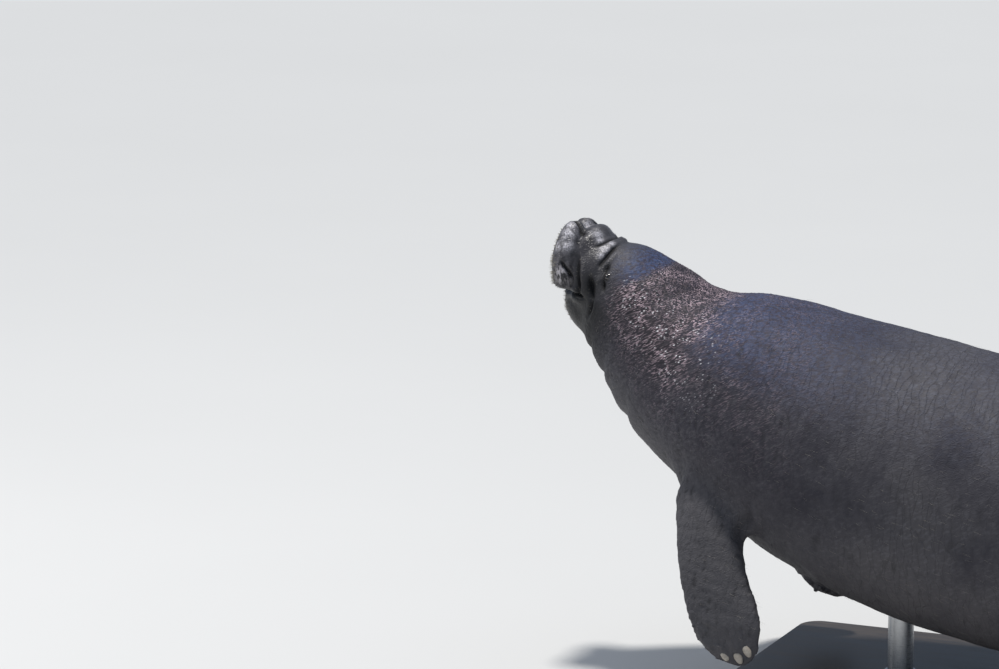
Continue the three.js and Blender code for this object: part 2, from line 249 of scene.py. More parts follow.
def pitch_at(x):
    neck, back = fade(x, *NECK_BEND), fade(x, *BACK_BEND)
    return np.radians(
        TAIL_PITCH + (TRUNK_PITCH - TAIL_PITCH) * back + (HEAD_PITCH - TRUNK_PITCH) * neck
    )


spine_s = np.arange(SPINE_START, SPINE_END + SPINE_STEP, SPINE_STEP, dtype=float)
spine_mid = pitch_at(spine_s[:-1] + SPINE_STEP / 2)
head_pitch = float(pitch_at(np.array([0.0]))[0])
spine_x = SNOUT_PLACE[0] + SPINE_START * math.cos(head_pitch) + np.concatenate(
    [[0], np.cumsum(SPINE_STEP * np.cos(spine_mid))]
)
spine_z = SNOUT_PLACE[1] - SPINE_START * math.sin(head_pitch) - np.concatenate(
    [[0], np.cumsum(SPINE_STEP * np.sin(spine_mid))]
)


def pose(p):
    """Straight-pose millimetres to the frame's metres."""
    pitch = pitch_at(p[:, 0])
    x = np.interp(p[:, 0], spine_s, spine_x) + p[:, 2] * np.sin(pitch)
    z = np.interp(p[:, 0], spine_s, spine_z) + p[:, 2] * np.cos(pitch)
    return np.stack([x, p[:, 1], z], 1) * MM


# The animal's smooth shape, as a function that is 0 on its surface and negative inside

trunk_lines = {key: curve_through(TRUNK["x"], TRUNK[key]) for key in ("back", "belly", "half", "wide")}


def section(y, z, half, up, down, squareness):
    """About how far (y, z) lies outside a rounded section."""
    reach = np.where(z > 0, up, down)
    r = np.hypot(y, z) + 1e-6
    share = (np.abs(y / half) ** squareness + np.abs(z / reach) ** squareness) ** (1 / squareness)
    return r - r / (share + TINY)


def trunk_field(p):
    x = p[:, 0]
    wide = trunk_lines["wide"](x)
    up = trunk_lines["back"](x) - wide
    down = wide - trunk_lines["belly"](x)
    d = section(p[:, 1], p[:, 2] - wide, trunk_lines["half"](x), up, down, TRUNK_SQUARENESS)
    return np.maximum(np.maximum(d, TRUNK["x"][0] - x), x - TRUNK["x"][-1])


def mass_field(p, centre, half, tilt, lean):
    x, y, z = (p - np.array(centre, float)).T
    tilt, lean = math.radians(tilt), math.radians(lean)
    along = x * math.cos(tilt) + z * math.sin(tilt)
    up = z * math.cos(tilt) - x * math.sin(tilt)
    across = y * math.cos(lean) + up * math.sin(lean)
    up = up * math.cos(lean) - y * math.sin(lean)
    q = np.stack([along, across, up], 1) / half
    share = np.linalg.norm(q, axis=1)
    return share * (share - 1) / (np.linalg.norm(q / half, axis=1) + TINY)


def paddle_shares(x):
    """The paddle's half width and half thickness at x, as shares."""
    length = BODY_LENGTH - PADDLE["from"]
    u = np.clip((x - PADDLE["from"]) / length, 0, 1)
    widest = (PADDLE["wide"] - PADDLE["from"]) / length
    opening = np.sin(np.minimum(u / widest, 1) * math.pi / 2)
    to_tip = np.maximum(u - widest, 0) / (1 - widest)
    closing = np.sqrt(np.maximum(1 - to_tip ** 2, PADDLE_TIP_SHARE ** 2))
    width = (PADDLE_ROOT_SHARE + (1 - PADDLE_ROOT_SHARE) * opening) * closing
    return width, (1 - PADDLE_THINNING * u) * np.sqrt(closing)


def paddle_field(p):
    x = p[:, 0]
    width, thickness = paddle_shares(x)
    thick = PADDLE["thick"] * thickness
    d = section(p[:, 1], p[:, 2] - PADDLE["height"], PADDLE["half"] * width, thick, thick,
                PADDLE_SQUARENESS)
    return np.maximum(np.maximum(d, PADDLE["from"] - x), x - BODY_LENGTH + 1)


def spline_through(points, share):
    """A point of the smooth centripetal curve through points, at a share of its stretches."""
    points = np.array(points, float)
    ends = np.concatenate([[2 * points[0] - points[1]], points, [2 * points[-1] - points[-2]]])
    at = share * (len(points) - 1)
    i = int(min(math.floor(at), len(points) - 2))
    t = at - i
    a, b, c, d = ends[i:i + 4]
    ab, bc, cd = (math.sqrt(np.linalg.norm(v)) for v in (b - a, c - b, d - c))
    start = ((b - a) / ab - (c - a) / (ab + bc) + (c - b) / bc) * bc
    end = ((c - b) / bc - (d - b) / (bc + cd) + (d - c) / cd) * bc
    square, cube = t * t, t * t * t
    return (b + start * t + (3 * (c - b) - 2 * start - end) * square
            + (2 * (b - c) + start + end) * cube)


limb_middle = np.array([spline_through(LIMB_AT, t) for t in np.linspace(0, 1, LIMB_SAMPLES)])
limb_along = np.gradient(limb_middle, axis=0)
limb_step = np.linalg.norm(limb_along, axis=1)
limb_along /= limb_step[:, None]
limb_across = np.array([1.0, 0, 0]) - limb_along * limb_along[:, :1]
limb_across /= np.linalg.norm(limb_across, axis=1)[:, None]
limb_out = np.cross(limb_across, limb_along)
limb_stations = np.linspace(0, 1, len(LIMB_AT))
limb_breadth = curve_through(limb_stations, LIMB_BREADTH)
limb_thick = curve_through(limb_stations, LIMB_THICK)


def limb_place(p):
    """Where p lies by the flipper: share of its length, millimetres across and out of its middle."""
    square = ((p[:, None, :] - limb_middle[None]) ** 2).sum(2)
    i = square.argmin(1)
    shift = ((p - limb_middle[i]) * limb_along[i]).sum(1) / limb_step[i]
    at = np.clip(i + shift, 0, LIMB_SAMPLES - 1)
    beyond = (i + shift - at) * limb_step[i]
    low = np.minimum(at.astype(int), LIMB_SAMPLES - 2)
    t = (at - low)[:, None]
    middle, across, out = (row[low] * (1 - t) + row[low + 1] * t
                           for row in (limb_middle, limb_across, limb_out))
    q = p - middle
    return at / (LIMB_SAMPLES - 1), (q * across).sum(1), (q * out).sum(1), beyond


def limb_field(p):
    share, across, out, beyond = limb_place(p)
    to_tip = np.maximum(share - 1 + LIMB_TIP_LENGTH, 0) / LIMB_TIP_LENGTH
    closing = np.sqrt(np.maximum(1 - to_tip ** 2, LIMB_TIP_SHARE ** 2))
    thick = limb_thick(share) * closing
    d = section(across, out, limb_breadth(share) * closing, thick, thick, 2)
    return np.maximum(d, np.abs(beyond) - 1)


def melt(a, b, width):
    """The union of two shapes, with a fillet of that width."""
    h = np.clip(0.5 + 0.5 * (b - a) / width, 0, 1)
    return b * (1 - h) + a * h - width * h * (1 - h)


def body_field(p):
    q = mirrored(p)
    d = trunk_field(q)
    near = q[:, 0] < FACE_END
    if near.any():
        part = d[near]
        for *mass, width in FACE:
            part = melt(part, mass_field(q[near], *mass), width)
        d[near] = part
    near = q[:, 0] > PADDLE_NEAR
    if near.any():
        d[near] = melt(d[near], paddle_field(q[near]), PADDLE_MELT)
    near = in_box(q, *LIMB_BOX)
    if near.any():
        d[near] = melt(d[near], limb_field(q[near]), LIMB_MELT)
    return d


def gradient(p, reach=0.5):
    g = np.empty_like(p)
    for axis in range(3):
        step = np.zeros(3)
        step[axis] = reach
        g[:, axis] = (body_field(p + step) - body_field(p - step)) / (2 * reach)
    return g


def onto_surface(p, rounds=3, most=6.0):
    """Moves points to the smooth shape's surface, at most that far in one round."""
    for _ in range(rounds):
        g = gradient(p)
        move = body_field(p)[:, None] * g / ((g ** 2).sum(1)[:, None] + 1e-6)
        size = np.linalg.norm(move, axis=1)[:, None] + TINY
        p = p - move * np.minimum(1, most / size)
    return p


# The mesh of the smooth shape

def field_grid(xs, ys, zs):
    """The field at every point of a grid, mirrored across y = 0, where ys starts."""
    values = np.empty((len(xs), len(ys), len(zs)))
    grid_y, grid_z = np.meshgrid(ys, zs, indexing="ij")
    for start in range(0, len(xs), GRID_SLAB):
        x = xs[start:start + GRID_SLAB]
        p = np.empty((len(x),) + grid_y.shape + (3,))
        p[..., 0] = x[:, None, None]
        p[..., 1], p[..., 2] = grid_y, grid_z
        values[start:start + GRID_SLAB] = body_field(p.reshape(-1, 3)).reshape(p.shape[:3])
    return np.concatenate([values[:, :0:-1], values], 1)


def surface_net(low, high, step):
    """Vertices and outward quads of the surface on a grid."""
    xs, ys, zs = (np.arange(a, b, step, dtype=float) for a, b in zip(low, high))
    axes = [xs, np.concatenate([-ys[:0:-1], ys]), zs]
    values = field_grid(xs, ys, zs)
    inside = values < 0
    cells = np.array(values.shape) - 1
    total = np.zeros((cells.prod(), 3))
    count = np.zeros(cells.prod())
    rings = []
    for a in range(3):
        b, c = (a + 1) % 3, (a + 2) % 3
        first, second = [slice(None)] * 3, [slice(None)] * 3
        first[a], second[a] = slice(None, -1), slice(1, None)
        first, second = tuple(first), tuple(second)
        edges = np.argwhere(inside[first] != inside[second])
        from_value = values[first][tuple(edges.T)]
        to_value = values[second][tuple(edges.T)]
        point = np.stack([axes[i][edges[:, i]] for i in range(3)], 1)
        point[:, a] += step * from_value / (from_value - to_value)
        corners = []
        for shift_b, shift_c in ((1, 1), (0, 1), (0, 0), (1, 0)):
            cell = edges.copy()
            cell[:, b] -= shift_b
            cell[:, c] -= shift_c
            number = np.ravel_multi_index(tuple(cell.T), cells)
            np.add.at(total, number, point)
            np.add.at(count, number, 1)
            corners.append(number)
        ring = np.stack(corners, 1)
        backward = from_value > 0
        ring[backward] = ring[backward][:, ::-1]
        rings.append(ring)
    used = np.flatnonzero(count)
    vertex = np.full(len(count), -1)
    vertex[used] = np.arange(len(used))
    return total[used] / count[used, None], vertex[np.concatenate(rings)]


def relax(points, quads):
    """Evens out the mesh along the surface."""
    a = quads.ravel()
    b = np.roll(quads, -1, axis=1).ravel()
    degree = np.bincount(a, minlength=len(points)) + np.bincount(b, minlength=len(points))
    for _ in range(RELAX_ROUNDS):
        mean = np.empty_like(points)
        for i in range(3):
            mean[:, i] = np.bincount(a, points[b, i], len(points))
            mean[:, i] += np.bincount(b, points[a, i], len(points))
        mean /= degree[:, None]
        points = onto_surface(points + RELAX_SHARE * (mean - points), 1)
    return points


def read(items, name, width=1, kind=float):
    """One property of a mesh's items as an array, one row an item."""
    values = np.empty(len(items) * width, kind)
    items.foreach_get(name, values)
    return values.reshape(-1, width) if width > 1 else values


def places(mesh):
    return read(mesh.vertices, "co", 3)


def set_places(mesh, p):
    mesh.vertices.foreach_set("co", p.ravel())
    mesh.update()


def vertex_normals(mesh):
    return read(mesh.vertex_normals, "vector", 3)


def refine(mesh, chosen):
    """Splits the chosen faces in four and moves the new vertices onto the smooth shape."""
    keep = chosen(mirrored(read(mesh.polygons, "center", 3)))
    bm = bmesh.new()
    bm.from_mesh(mesh)
    bm.faces.ensure_lookup_table()
    edges = {e for i in np.flatnonzero(keep) for e in bm.faces[i].edges}
    old = len(bm.verts)
    bmesh.ops.subdivide_edges(bm, edges=list(edges), cuts=1, use_grid_fill=True)
    bm.to_mesh(mesh)
    bm.free()
    p = places(mesh)
    p[old:] = onto_surface(p[old:], 2)
    set_places(mesh, p)


# Seeded noise

HASH_AXES = (73856093, 19349663, 83492791)
HASH_SEED, HASH_FIRST, HASH_SECOND = 2654435761, 2246822519, 3266489917
WORD, FRACTION = 0xFFFFFFFF, 0xFFFFFF
NOISE_SHIFT, PIT_SHIFT = 101.37, 53.11
NOISE_HEIGHT = 1.6


def mixed_bits(cell, seed):
    """Three pseudo-random numbers in 0..1 for each grid cell."""
    x, y, z = (cell[:, i].astype(np.int64) * HASH_AXES[i] for i in range(3))
    h = x ^ y ^ z ^ (seed * HASH_SEED)
    found = []
    for turn in (1, 2, 3):
        h = ((h ^ (h >> 15)) * (HASH_FIRST + turn)) & WORD
        h = ((h ^ (h >> 13)) * HASH_SECOND) & WORD
        found.append(((h ^ (h >> 16)) & FRACTION) / FRACTION)
    return np.stack(found, 1)


def noise(p, name):
    """Smooth noise of about -1 to 1."""
    size, seed = NOISES[name]
    q = p / size + NOISE_SHIFT
    cell = np.floor(q)
    t = q - cell
    ease = t * t * t * (t * (6 * t - 15) + 10)
    total = np.zeros(len(p))
    for corner in np.ndindex(2, 2, 2):
        c = np.array(corner)
        slope = mixed_bits(cell + c, seed) * 2 - 1
        weight = np.where(c == 1, ease, 1 - ease).prod(1)
        total += weight * (slope * (t - c)).sum(1)
    return NOISE_HEIGHT * total


def pits(p, name):
    """Distances, in sizes, to the nearest of scattered points."""
    size, seed = NOISES[name]
    q = p / size + PIT_SHIFT
    cell = np.floor(q)
    nearest = np.full(len(p), np.inf)
    for corner in np.ndindex(3, 3, 3):
        c = cell + np.array(corner) - 1
        nearest = np.minimum(nearest, ((c + mixed_bits(c, seed) - q) ** 2).sum(1))
    return np.sqrt(nearest)


# The folds: half width, how far the skin stands up in front of the fold and behind it, and points
# of its line with the fold's depth at each
FOLDS = (
    # the furrow behind the lip pad, deep in its lower half
    (5.5, (0.3, 0.5), ((50, 48, 88, 0.5), (67, 66, 69, 1), (78, 79, 54, 1.5), (88, 87, 39, 3.5),
                       (106, 95, 19, 9), (124, 99, -5, 13), (140, 98, -26, 6))),
    # the crease across the lip pad, over its bristled lower lobe
    (3.6, (0, 4.5), ((50, 104, 19, 0), (64, 106, 16, 4), (78, 103, 11, 6), (94, 96, 3, 5),
                     (106, 92, -4, 1))),
    # the groove down the middle of the snout's front
    (9, (0.8, 0.8), ((40, 0, 92, 0), (20, 0, 74, 5), (8, 0, 46, 5), (4, 0, 14, 3.5), (8, 0, -20, 5),
                     (24, 0, -52, 9))),
    # the nostril's slit
    (5.4, (1, 1.5), ((19, 32, 86, 2), (26, 37, 89, 12), (36, 42, 89, 15), (48, 46, 86, 12),
                     (61, 54, 83, 1))),
    # the front crease over the snout
    (3.4, (0.8, 1.2), ((115, 0, 108, 3), (112, 26, 103, 3.2), (109, 43, 96, 3.8), (104, 57, 87, 3.4),
                       (99, 68, 76, 0))),
    # the rear crease over the snout, the deeper one
    (4.6, (0.5, 0.1), ((137, 0, 113, 0.2), (138, 20, 111, 1), (137, 40, 104, 4), (137, 58, 94, 5.8),
                       (138, 73, 80, 6.2), (139, 85, 66, 5), (143, 94, 52, 0))),
    # the crease from over the eye down past its front corner
    (5.6, (0.6, 0.2), ((152, 60, 99, 0), (152, 71, 89, 2.4), (154, 81, 78, 4), (158, 91, 67, 9),
                       (165, 100, 56, 12), (172, 106, 45, 12), (180, 111, 34, 8), (190, 116, 24, 0))),
    # the crease between the two lobes of the cheek
    (7, (0.8, 1), ((128, 97, 40, 0), (138, 101, 30, 5), (147, 103, 20, 12), (157, 104, 9, 13),
                   (168, 105, -4, 7))),
    # behind the mouth's corner
    (5, (2, 2), ((168, 104, 0, 0), (178, 108, -16, 5), (184, 107, -36, 5), (184, 98, -58, 0))),
    # three folds of the throat
    (9, (1.5, 1.5), ((214, 118, -66, 0), (222, 90, -104, 3), (226, 50, -132, 4), (227, 0, -141, 4))),
    (12, (2, 2), ((268, 148, -40, 0), (276, 130, -92, 3), (284, 90, -136, 4.5), (288, 44, -162, 5),
                  (290, 0, -168, 5))),
    (15, (2, 2), ((352, 184, -30, 0), (366, 172, -96, 3), (378, 132, -160, 4.5), (386, 70, -204, 5),
                  (388, 0, -219, 5))),
    # the soft fold from the nape, running down and forward
    (24, (1, 0.5), ((424, 0, 155, 1), (412, 26, 152, 1.8), (366, 58, 143, 3), (335, 101, 128, 3),
                    (313, 133, 102, 2.5), (290, 151, 61, 1.5), (276, 156, 24, 0))),
    # three folds of the armpit
    (13, (2.5, 2.5), ((706, 280, -190, 0), (716, 288, -236, 4.5), (722, 276, -286, 5),
                      (716, 244, -330, 0))),
    (14, (2, 2), ((738, 292, -176, 0), (756, 298, -236, 3.5), (764, 282, -300, 4), (756, 246, -350, 0))),
    (14, (2, 2), ((528, 226, -150, 0), (526, 222, -206, 3.5), (534, 204, -262, 4), (552, 176, -306, 0))),
)
LINE_PIECES = 5
# In half widths: how far a fold reaches and wanders, where its swell lies, and how wide that is
FOLD_REACH, FOLD_WANDER, SWELL_AT, SWELL_HALF = 4.5, 0.12, 2.1, 1.15
NARROW_FOLD, NARROW_POWER, WIDE_POWER = 10, 1.5, 2
SHALLOW = 0.2


def by_line(p, normal, line, value):
    """Distance to a line of points, which side of it, and the line's value at the nearest place."""
    best = np.full(len(p), np.inf)
    side = np.zeros(len(p))
    found = np.zeros(len(p))
    for i in range(len(line) - 1):
        step = line[i + 1] - line[i]
        q = p - line[i]
        t = np.clip(q @ step / (step @ step), 0, 1)
        q = q - t[:, None] * step
        d = (q ** 2).sum(1)
        nearer = d < best
        best[nearer] = d[nearer]
        side[nearer] = (q * np.cross(normal, step)).sum(1)[nearer]
        found[nearer] = (value[i] + (value[i + 1] - value[i]) * t)[nearer]
    return np.sqrt(best), np.sign(side), found


def folded(p, normal):
    """How far each point moves out for the folds, and how deep in a fold it lies."""
    q = mirrored(p)
    n = normal * np.where(p[:, 1:2] < 0, (1, -1, 1), (1, 1, 1))
    out, deep = np.zeros(len(p)), np.zeros(len(p))
    wander = noise(p, "fold wander")
    for width, (before, behind), points in FOLDS:
        points, depths = np.array(points, float)[:, :3], np.array(points, float)[:, 3]
        shares = np.linspace(0, 1, LINE_PIECES * (len(points) - 1) + 1)
        line = onto_surface(np.array([spline_through(points, t) for t in shares]), 5)
        depth = np.maximum(curve_through(np.linspace(0, 1, len(points)), depths)(shares), 0)
        reach = width * FOLD_REACH
        near = in_box(q, line.min(0) - reach, line.max(0) + reach)
        distance, side, value = by_line(q[near], n[near], line, depth)
        distance = distance + FOLD_WANDER * width * wander[near]
        groove = np.exp(-(np.abs(distance / width) ** (NARROW_POWER if width < NARROW_FOLD else WIDE_POWER)))
        swell = np.where(side > 0, before, behind) * value / depths.max()
        out[near] += swell * bump(distance - SWELL_AT * width, SWELL_HALF * width) - value * groove
        deep[near] = np.maximum(deep[near], groove * np.clip(value / width - SHALLOW, 0, 1))
    return out, deep


# The lids and the mouth

EYE_SLIT = np.array([0.42, 0.0, -0.91]) / np.linalg.norm([0.42, 0.0, -0.91])
EYE_OPEN = (5.8, 3.2)
EYE_OUTSIDE, LIDS_AT, LIDS_HALF = (-14, -4), 1.0, 0.35
# In shares of the eye's opening: where its hole ends, and where its rim lies and how wide that is
HOLE_EDGE, HOLE_DEPTH = (0.82, 1.12), 10.5
RIM_AT, RIM_HALF, RIM_HEIGHT = 1.42, 0.34, 1.5
# In millimetres: the rings and the mound round the eye, and the lips
RING_START, RING_STEP, RING_HEIGHT, RINGS_AT, RINGS_HALF = 8, 4.2, 0.4, 15, 6
MOUND_SIZE, MOUND_HEIGHT = 17, 2.8
LIPS_DEPTH, LIPS_HALF, LIPS_CLOSE, LIPS_RISE = 12, 4.2, 26, 0.25
LIP_AT, LIP_HALF, LIP_HEIGHT, WAVE_AT, WAVE_HALF, WAVE_HEIGHT = 13, 8, 3.4, 10, 12, 0.8
LIP_FRONT, LIP_FRONT_WIDTH, LIP_MIDDLE_SHARE = 80, 12, 0.4


def eye_shape(p):
    """How far the skin moves out round the eye, and how deep in the lids it lies."""
    q = mirrored(p) - EYE_CENTRE
    along, across = q @ EYE_SLIT, np.abs(q @ np.cross([0, 1, 0], EYE_SLIT))
    outside = smoothstep(q[:, 1], *EYE_OUTSIDE)
    opening = np.hypot(along / EYE_OPEN[0], across / EYE_OPEN[1])
    span = np.hypot(along, across)
    rings = np.cos((span - RING_START) * 2 * math.pi / RING_STEP) * bump(span - RINGS_AT, RINGS_HALF)
    out = MOUND_HEIGHT * bump(span, MOUND_SIZE) + RIM_HEIGHT * bump(opening - RIM_AT, RIM_HALF)
    out += RING_HEIGHT * rings - HOLE_DEPTH * fade(opening, *HOLE_EDGE)
    return outside * out, outside * bump(opening - LIDS_AT, LIDS_HALF)


def mouth_shape(p):
    """How far the skin moves out round the mouth, and how deep between the lips it lies."""
    tilt = math.radians(MOUTH_TILT)
    q = p - np.array(MOUTH_POINT, float)
    height = q[:, 2] * math.cos(tilt) - q[:, 0] * math.sin(tilt)
    share = fade(p[:, 0] + LIPS_RISE * height, MOUTH_CORNER - LIPS_CLOSE, MOUTH_CORNER)
    front = smoothstep(np.abs(p[:, 1]) + np.maximum(LIP_FRONT - p[:, 0], 0), 0, LIP_FRONT_WIDTH)
    groove = np.exp(-(np.abs(height / LIPS_HALF) ** NARROW_POWER)) * share
    lips = LIP_HEIGHT * bump(np.abs(height) - LIP_AT, LIP_HALF)
    waves = WAVE_HEIGHT * noise(p, "lip waves") * bump(np.abs(height) - WAVE_AT, WAVE_HALF)
    out = (lips + waves) * share - LIPS_DEPTH * groove
    return out * (LIP_MIDDLE_SHARE + (1 - LIP_MIDDLE_SHARE) * front), groove


# The skin's shape in detail

# Lobes of the cheek and of the lip pad's lower part, and a dent over the snout: middle, size, height
LOBES = (
    ((116, 98, 24), 12, 2.0),
    ((159, 103, 36), 11, 3.0),
    ((80, 100, -10), 17, 5.0),
    ((130, 0, 113), 24, -4.0),
)
# The browsing lip is drawn up on the left side
PAD_TOP, PAD_TOP_SIZE, PAD_TOP_LEFT, PAD_TOP_RIGHT = (21, 50, 86), 24, 3.5, -4.5
HEAD_END = 320
LIDS_SHADE, LIPS_SHADE = 0.9, 1
EYE_CLEAR, EYE_CLEAR_WIDTH, EYE_CLEAR_SHARE = 12, 6, 0.92
ROLL_HEIGHT, SMALL_ROLL_HEIGHT = 4.0, 0.9
FINGER_COUNT, FINGER_HEIGHT, KNUCKLE_HEIGHT = 4.5, 1.3, 1.6
FINGERS_RISE, FINGERS_FALL, KNUCKLES_RISE = (0.5, 0.72), (0.9, 1), (0.15, 0.3)
FAN_MIDDLE, FAN_SPREAD, FAN_HEIGHT = 2250, (900, 0.25, 0.2), 1.3
STOCK_CREASE, STOCK_SLANT, STOCK_HALF, STOCK_DEPTH, STOCK_SIDES = 2300, 0.35, 30, 2.2, (80, 150)
# The navel and two slits behind it: place, half length, half width and depth, and their rims
BELLY_PITS = ((1290, 16, 9, 6), (1790, 34, 5, 7), (1990, 14, 6, 6))
RIM_LONG, RIM_WIDE, PIT_RIM_HEIGHT = 1.9, 2.6, 0.7


def big_shape(p, normal):
    """The folds, eyelids, lips, and the soft unevenness of the flesh."""
    q = mirrored(p)
    x, y, z = q.T
    out, deep = folded(p, normal)
    past_lids = np.maximum(distance_to(q, EYE_CENTRE) - EYE_CLEAR, 0)
    out *= 1 - EYE_CLEAR_SHARE * bump(past_lids, EYE_CLEAR_WIDTH)
    head = x < HEAD_END
    for shape, shade in ((eye_shape, LIDS_SHADE), (mouth_shape, LIPS_SHADE)):
        moved, depth = shape(p[head])
        out[head] += moved
        deep[head] = np.maximum(deep[head], depth * shade)
    for centre, size, height in LOBES:
        out += height * hill(q, centre, size)
    out += hill(q, PAD_TOP, PAD_TOP_SIZE) * np.where(p[:, 1] < 0, PAD_TOP_LEFT, PAD_TOP_RIGHT)
    # the flesh of the trunk sags a little between soft rolls
    rolls = ROLL_HEIGHT * noise(p, "rolls") + SMALL_ROLL_HEIGHT * noise(p, "small rolls")
    out += region(x, "rolls") * rolls
    # finger bones and wrinkles of the flipper
    near = in_box(q, *LIMB_BOX)
    share, across, _, _ = limb_place(q[near])
    fingers = np.cos(across / limb_breadth(share) * math.pi * FINGER_COUNT)
    out[near] += FINGER_HEIGHT * fingers * smoothstep(share, *FINGERS_RISE) * fade(share, *FINGERS_FALL)
    out[near] += KNUCKLE_HEIGHT * noise(p[near], "knuckles") * smoothstep(share, *KNUCKLES_RISE)
    # soft ribs that fan out over the paddle
    fan = np.stack([np.arctan2(p[:, 1], x - FAN_MIDDLE), x, z], 1) * FAN_SPREAD
    out += region(x, "paddle ribs") * FAN_HEIGHT * noise(fan, "paddle ribs")
    # the crease where the paddle leaves the stock
    crease = bump(x - (STOCK_CREASE + STOCK_SLANT * y), STOCK_HALF)
    out -= STOCK_DEPTH * crease * smoothstep(y, *STOCK_SIDES)
    belly = z < trunk_lines["wide"](x)
    for at, long, wide, depth in BELLY_PITS:
        pit = bump((x - at) / long) * bump(y / wide) * belly
        rim = bump((x - at) / (long * RIM_LONG)) * bump(y / (wide * RIM_WIDE)) * belly
        out += PIT_RIM_HEIGHT * rim - depth * pit
        deep = np.maximum(deep, pit)
    return out, deep


PAD_END, PEBBLES_FROM, PEBBLES_TO = 140, 120, 900
PAD_LOBE, PAD_LOBE_SIZE = (80, 98, -16), 24
MIDDLE_PIT = 0.5
# Heights of the fine relief: all over the snout, more on the lip pads, and more on their lower lobe
PIT_HEIGHTS, LOBE_FOLD_HEIGHTS = (0.15, 0.6, 0.5), (0.15, 1.5)
PAD_WRINKLE_HEIGHT, PAD_DENT_HEIGHT = 0.8, 0.5
MIDDLE_PEBBLE, PEBBLE_HEIGHT, STROKE_HEIGHT = 0.55, 0.7, 0.8
WRINKLE_HEIGHT, WRINKLE_TOP, WRINKLE_SHARES = 1.25, 0.55, (0.65, 0.5)
GRAIN_HEIGHT = 0.3
SMOOTH_IN_FOLDS, SMOOTH_BY_EYE = 0.85, 15


def fine_shape(p):
    """Pits, pebbles and fine wrinkles."""
    q = mirrored(p)
    x = q[:, 0]
    out = np.zeros(len(p))
    # the lip pads: small pits over all, and coarse folds on the lower lobe
    near = x < PAD_END
    pad, lower = region(x[near], "pad"), hill(q[near], PAD_LOBE, PAD_LOBE_SIZE)
    pit_height = PIT_HEIGHTS[0] + PIT_HEIGHTS[1] * pad + PIT_HEIGHTS[2] * lower
    fold_height = LOBE_FOLD_HEIGHTS[0] + LOBE_FOLD_HEIGHTS[1] * lower
    out[near] += pit_height * (MIDDLE_PIT - pits(p[near], "pad pits"))
    out[near] += fold_height * noise(p[near] @ LOBE_TURN, "lobe folds")
    out[near] += pad * PAD_WRINKLE_HEIGHT * noise(p[near], "pad wrinkles")
    out[near] += pad * PAD_DENT_HEIGHT * noise(p[near], "pad dents")
    # pebbled skin of the head and neck, with strokes that run round it
    near = (x >= PEBBLES_FROM) & (x < PEBBLES_TO)
    strength = region(x[near], "pebbles")
    out[near] += strength * PEBBLE_HEIGHT * (MIDDLE_PEBBLE - pits(p[near], "pebbles"))
    out[near] += strength * STROKE_HEIGHT * noise(p[near] @ STROKE_TURN, "strokes")
    # wrinkles of the body, mostly running round it
    ridge = WRINKLE_TOP - np.abs(noise(p, "wrinkles"))
    strength = WRINKLE_SHARES[0] + WRINKLE_SHARES[1] * noise(p, "wrinkle strength")
    out += region(x, "wrinkles") * WRINKLE_HEIGHT * ridge * strength
    return out + GRAIN_HEIGHT * noise(p, "grain")


def add_object(name, data):
    obj = bpy.data.objects.new(name, data)
    bpy.context.scene.collection.objects.link(obj)
    return obj


def smooth_object(name, mesh):
    mesh.polygons.foreach_set("use_smooth", np.ones(len(mesh.polygons), bool))
    return add_object(name, mesh)


def new_mesh(name, verts, faces):
    mesh = bpy.data.meshes.new(name)
    mesh.from_pydata(verts, [], faces)
    mesh.update()
    return mesh


def add_values(mesh, name, values):
    """A number for each vertex that the material reads."""
    layer = mesh.attributes.new(name, "FLOAT", "POINT")
    layer.data.foreach_set("value", values.astype(np.float32))


def fine_part(c):
    """The head and neck, the flipper's hand, and the paddle's rim and tip."""
    x = c[:, 0]
    rim = (x > FINE_RIM_FROM) & (c[:, 1] > FINE_RIM_SHARE * PADDLE["half"] * paddle_shares(x)[0])
    return (x < FINE_TO) | rim | (x > FINE_TIP_FROM) | in_box(c, *FINE_HAND)


def skin_mesh():
    """The skin's mesh, still straight, its points on the smooth shape, and their depth and relief."""
    points, quads = surface_net(GRID_LOW, GRID_HIGH, GRID_STEP)
    points = onto_surface(relax(points, quads))
    mesh = new_mesh("skin", points.tolist(), quads.tolist())
    refine(mesh, fine_part)
    refine(mesh, lambda c: c[:, 0] < FINER_TO)
    refine(mesh, lambda c: distance_to(c, EYE_CENTRE) < FINEST_BY_EYE)
    p = places(mesh)
    normal = unit(gradient(p))
    out, deep = big_shape(p, normal)
    set_places(mesh, p + normal * out[:, None])
    fine = fine_shape(p) * (1 - SMOOTH_IN_FOLDS * deep)
    fine *= 1 - hill(mirrored(p), EYE_CENTRE, SMOOTH_BY_EYE)
    set_places(mesh, places(mesh) + vertex_normals(mesh) * fine[:, None])
    return mesh, p, deep, fine


# Painted glare on the wet crests of the snout, laid on as paler skin: middle and size
GLARE_SPOTS = (
    ((82, 38, 102), 14), ((96, 44, 96), 10), ((123, 38, 103), 9), ((124, 60, 91), 13),
    ((127, 74, 78), 9), ((40, 14, 85), 12), ((20, 58, 86), 13), ((30, 76, 73), 17), ((44, 90, 55), 16),
    ((30, 90, 38), 12),
)
# Middle and size of the painted shade behind the mouth's corner and before the eye, and of other patches
CORNER_SHADE, EYE_SHADE, EYE_SHADE_SHARE = ((150, 100, 6), 46), ((158, 90, 68), 15), 0.8
# The lip pad's pale lower lobe: partly paler skin, partly painted glare
PALE_LOBE, PALE_LOBE_SIZE = (77.0, 100, -6), (26, 26, 13)
GLOSSY_PAD = ((84, 78, 52), 60)
# Heights where the painted shade low on the face and under the chin comes and goes, in millimetres below the
# spine line
LOW_SHADE_HEIGHT, CHIN_HEIGHT = (-34, 22), (46, 60)
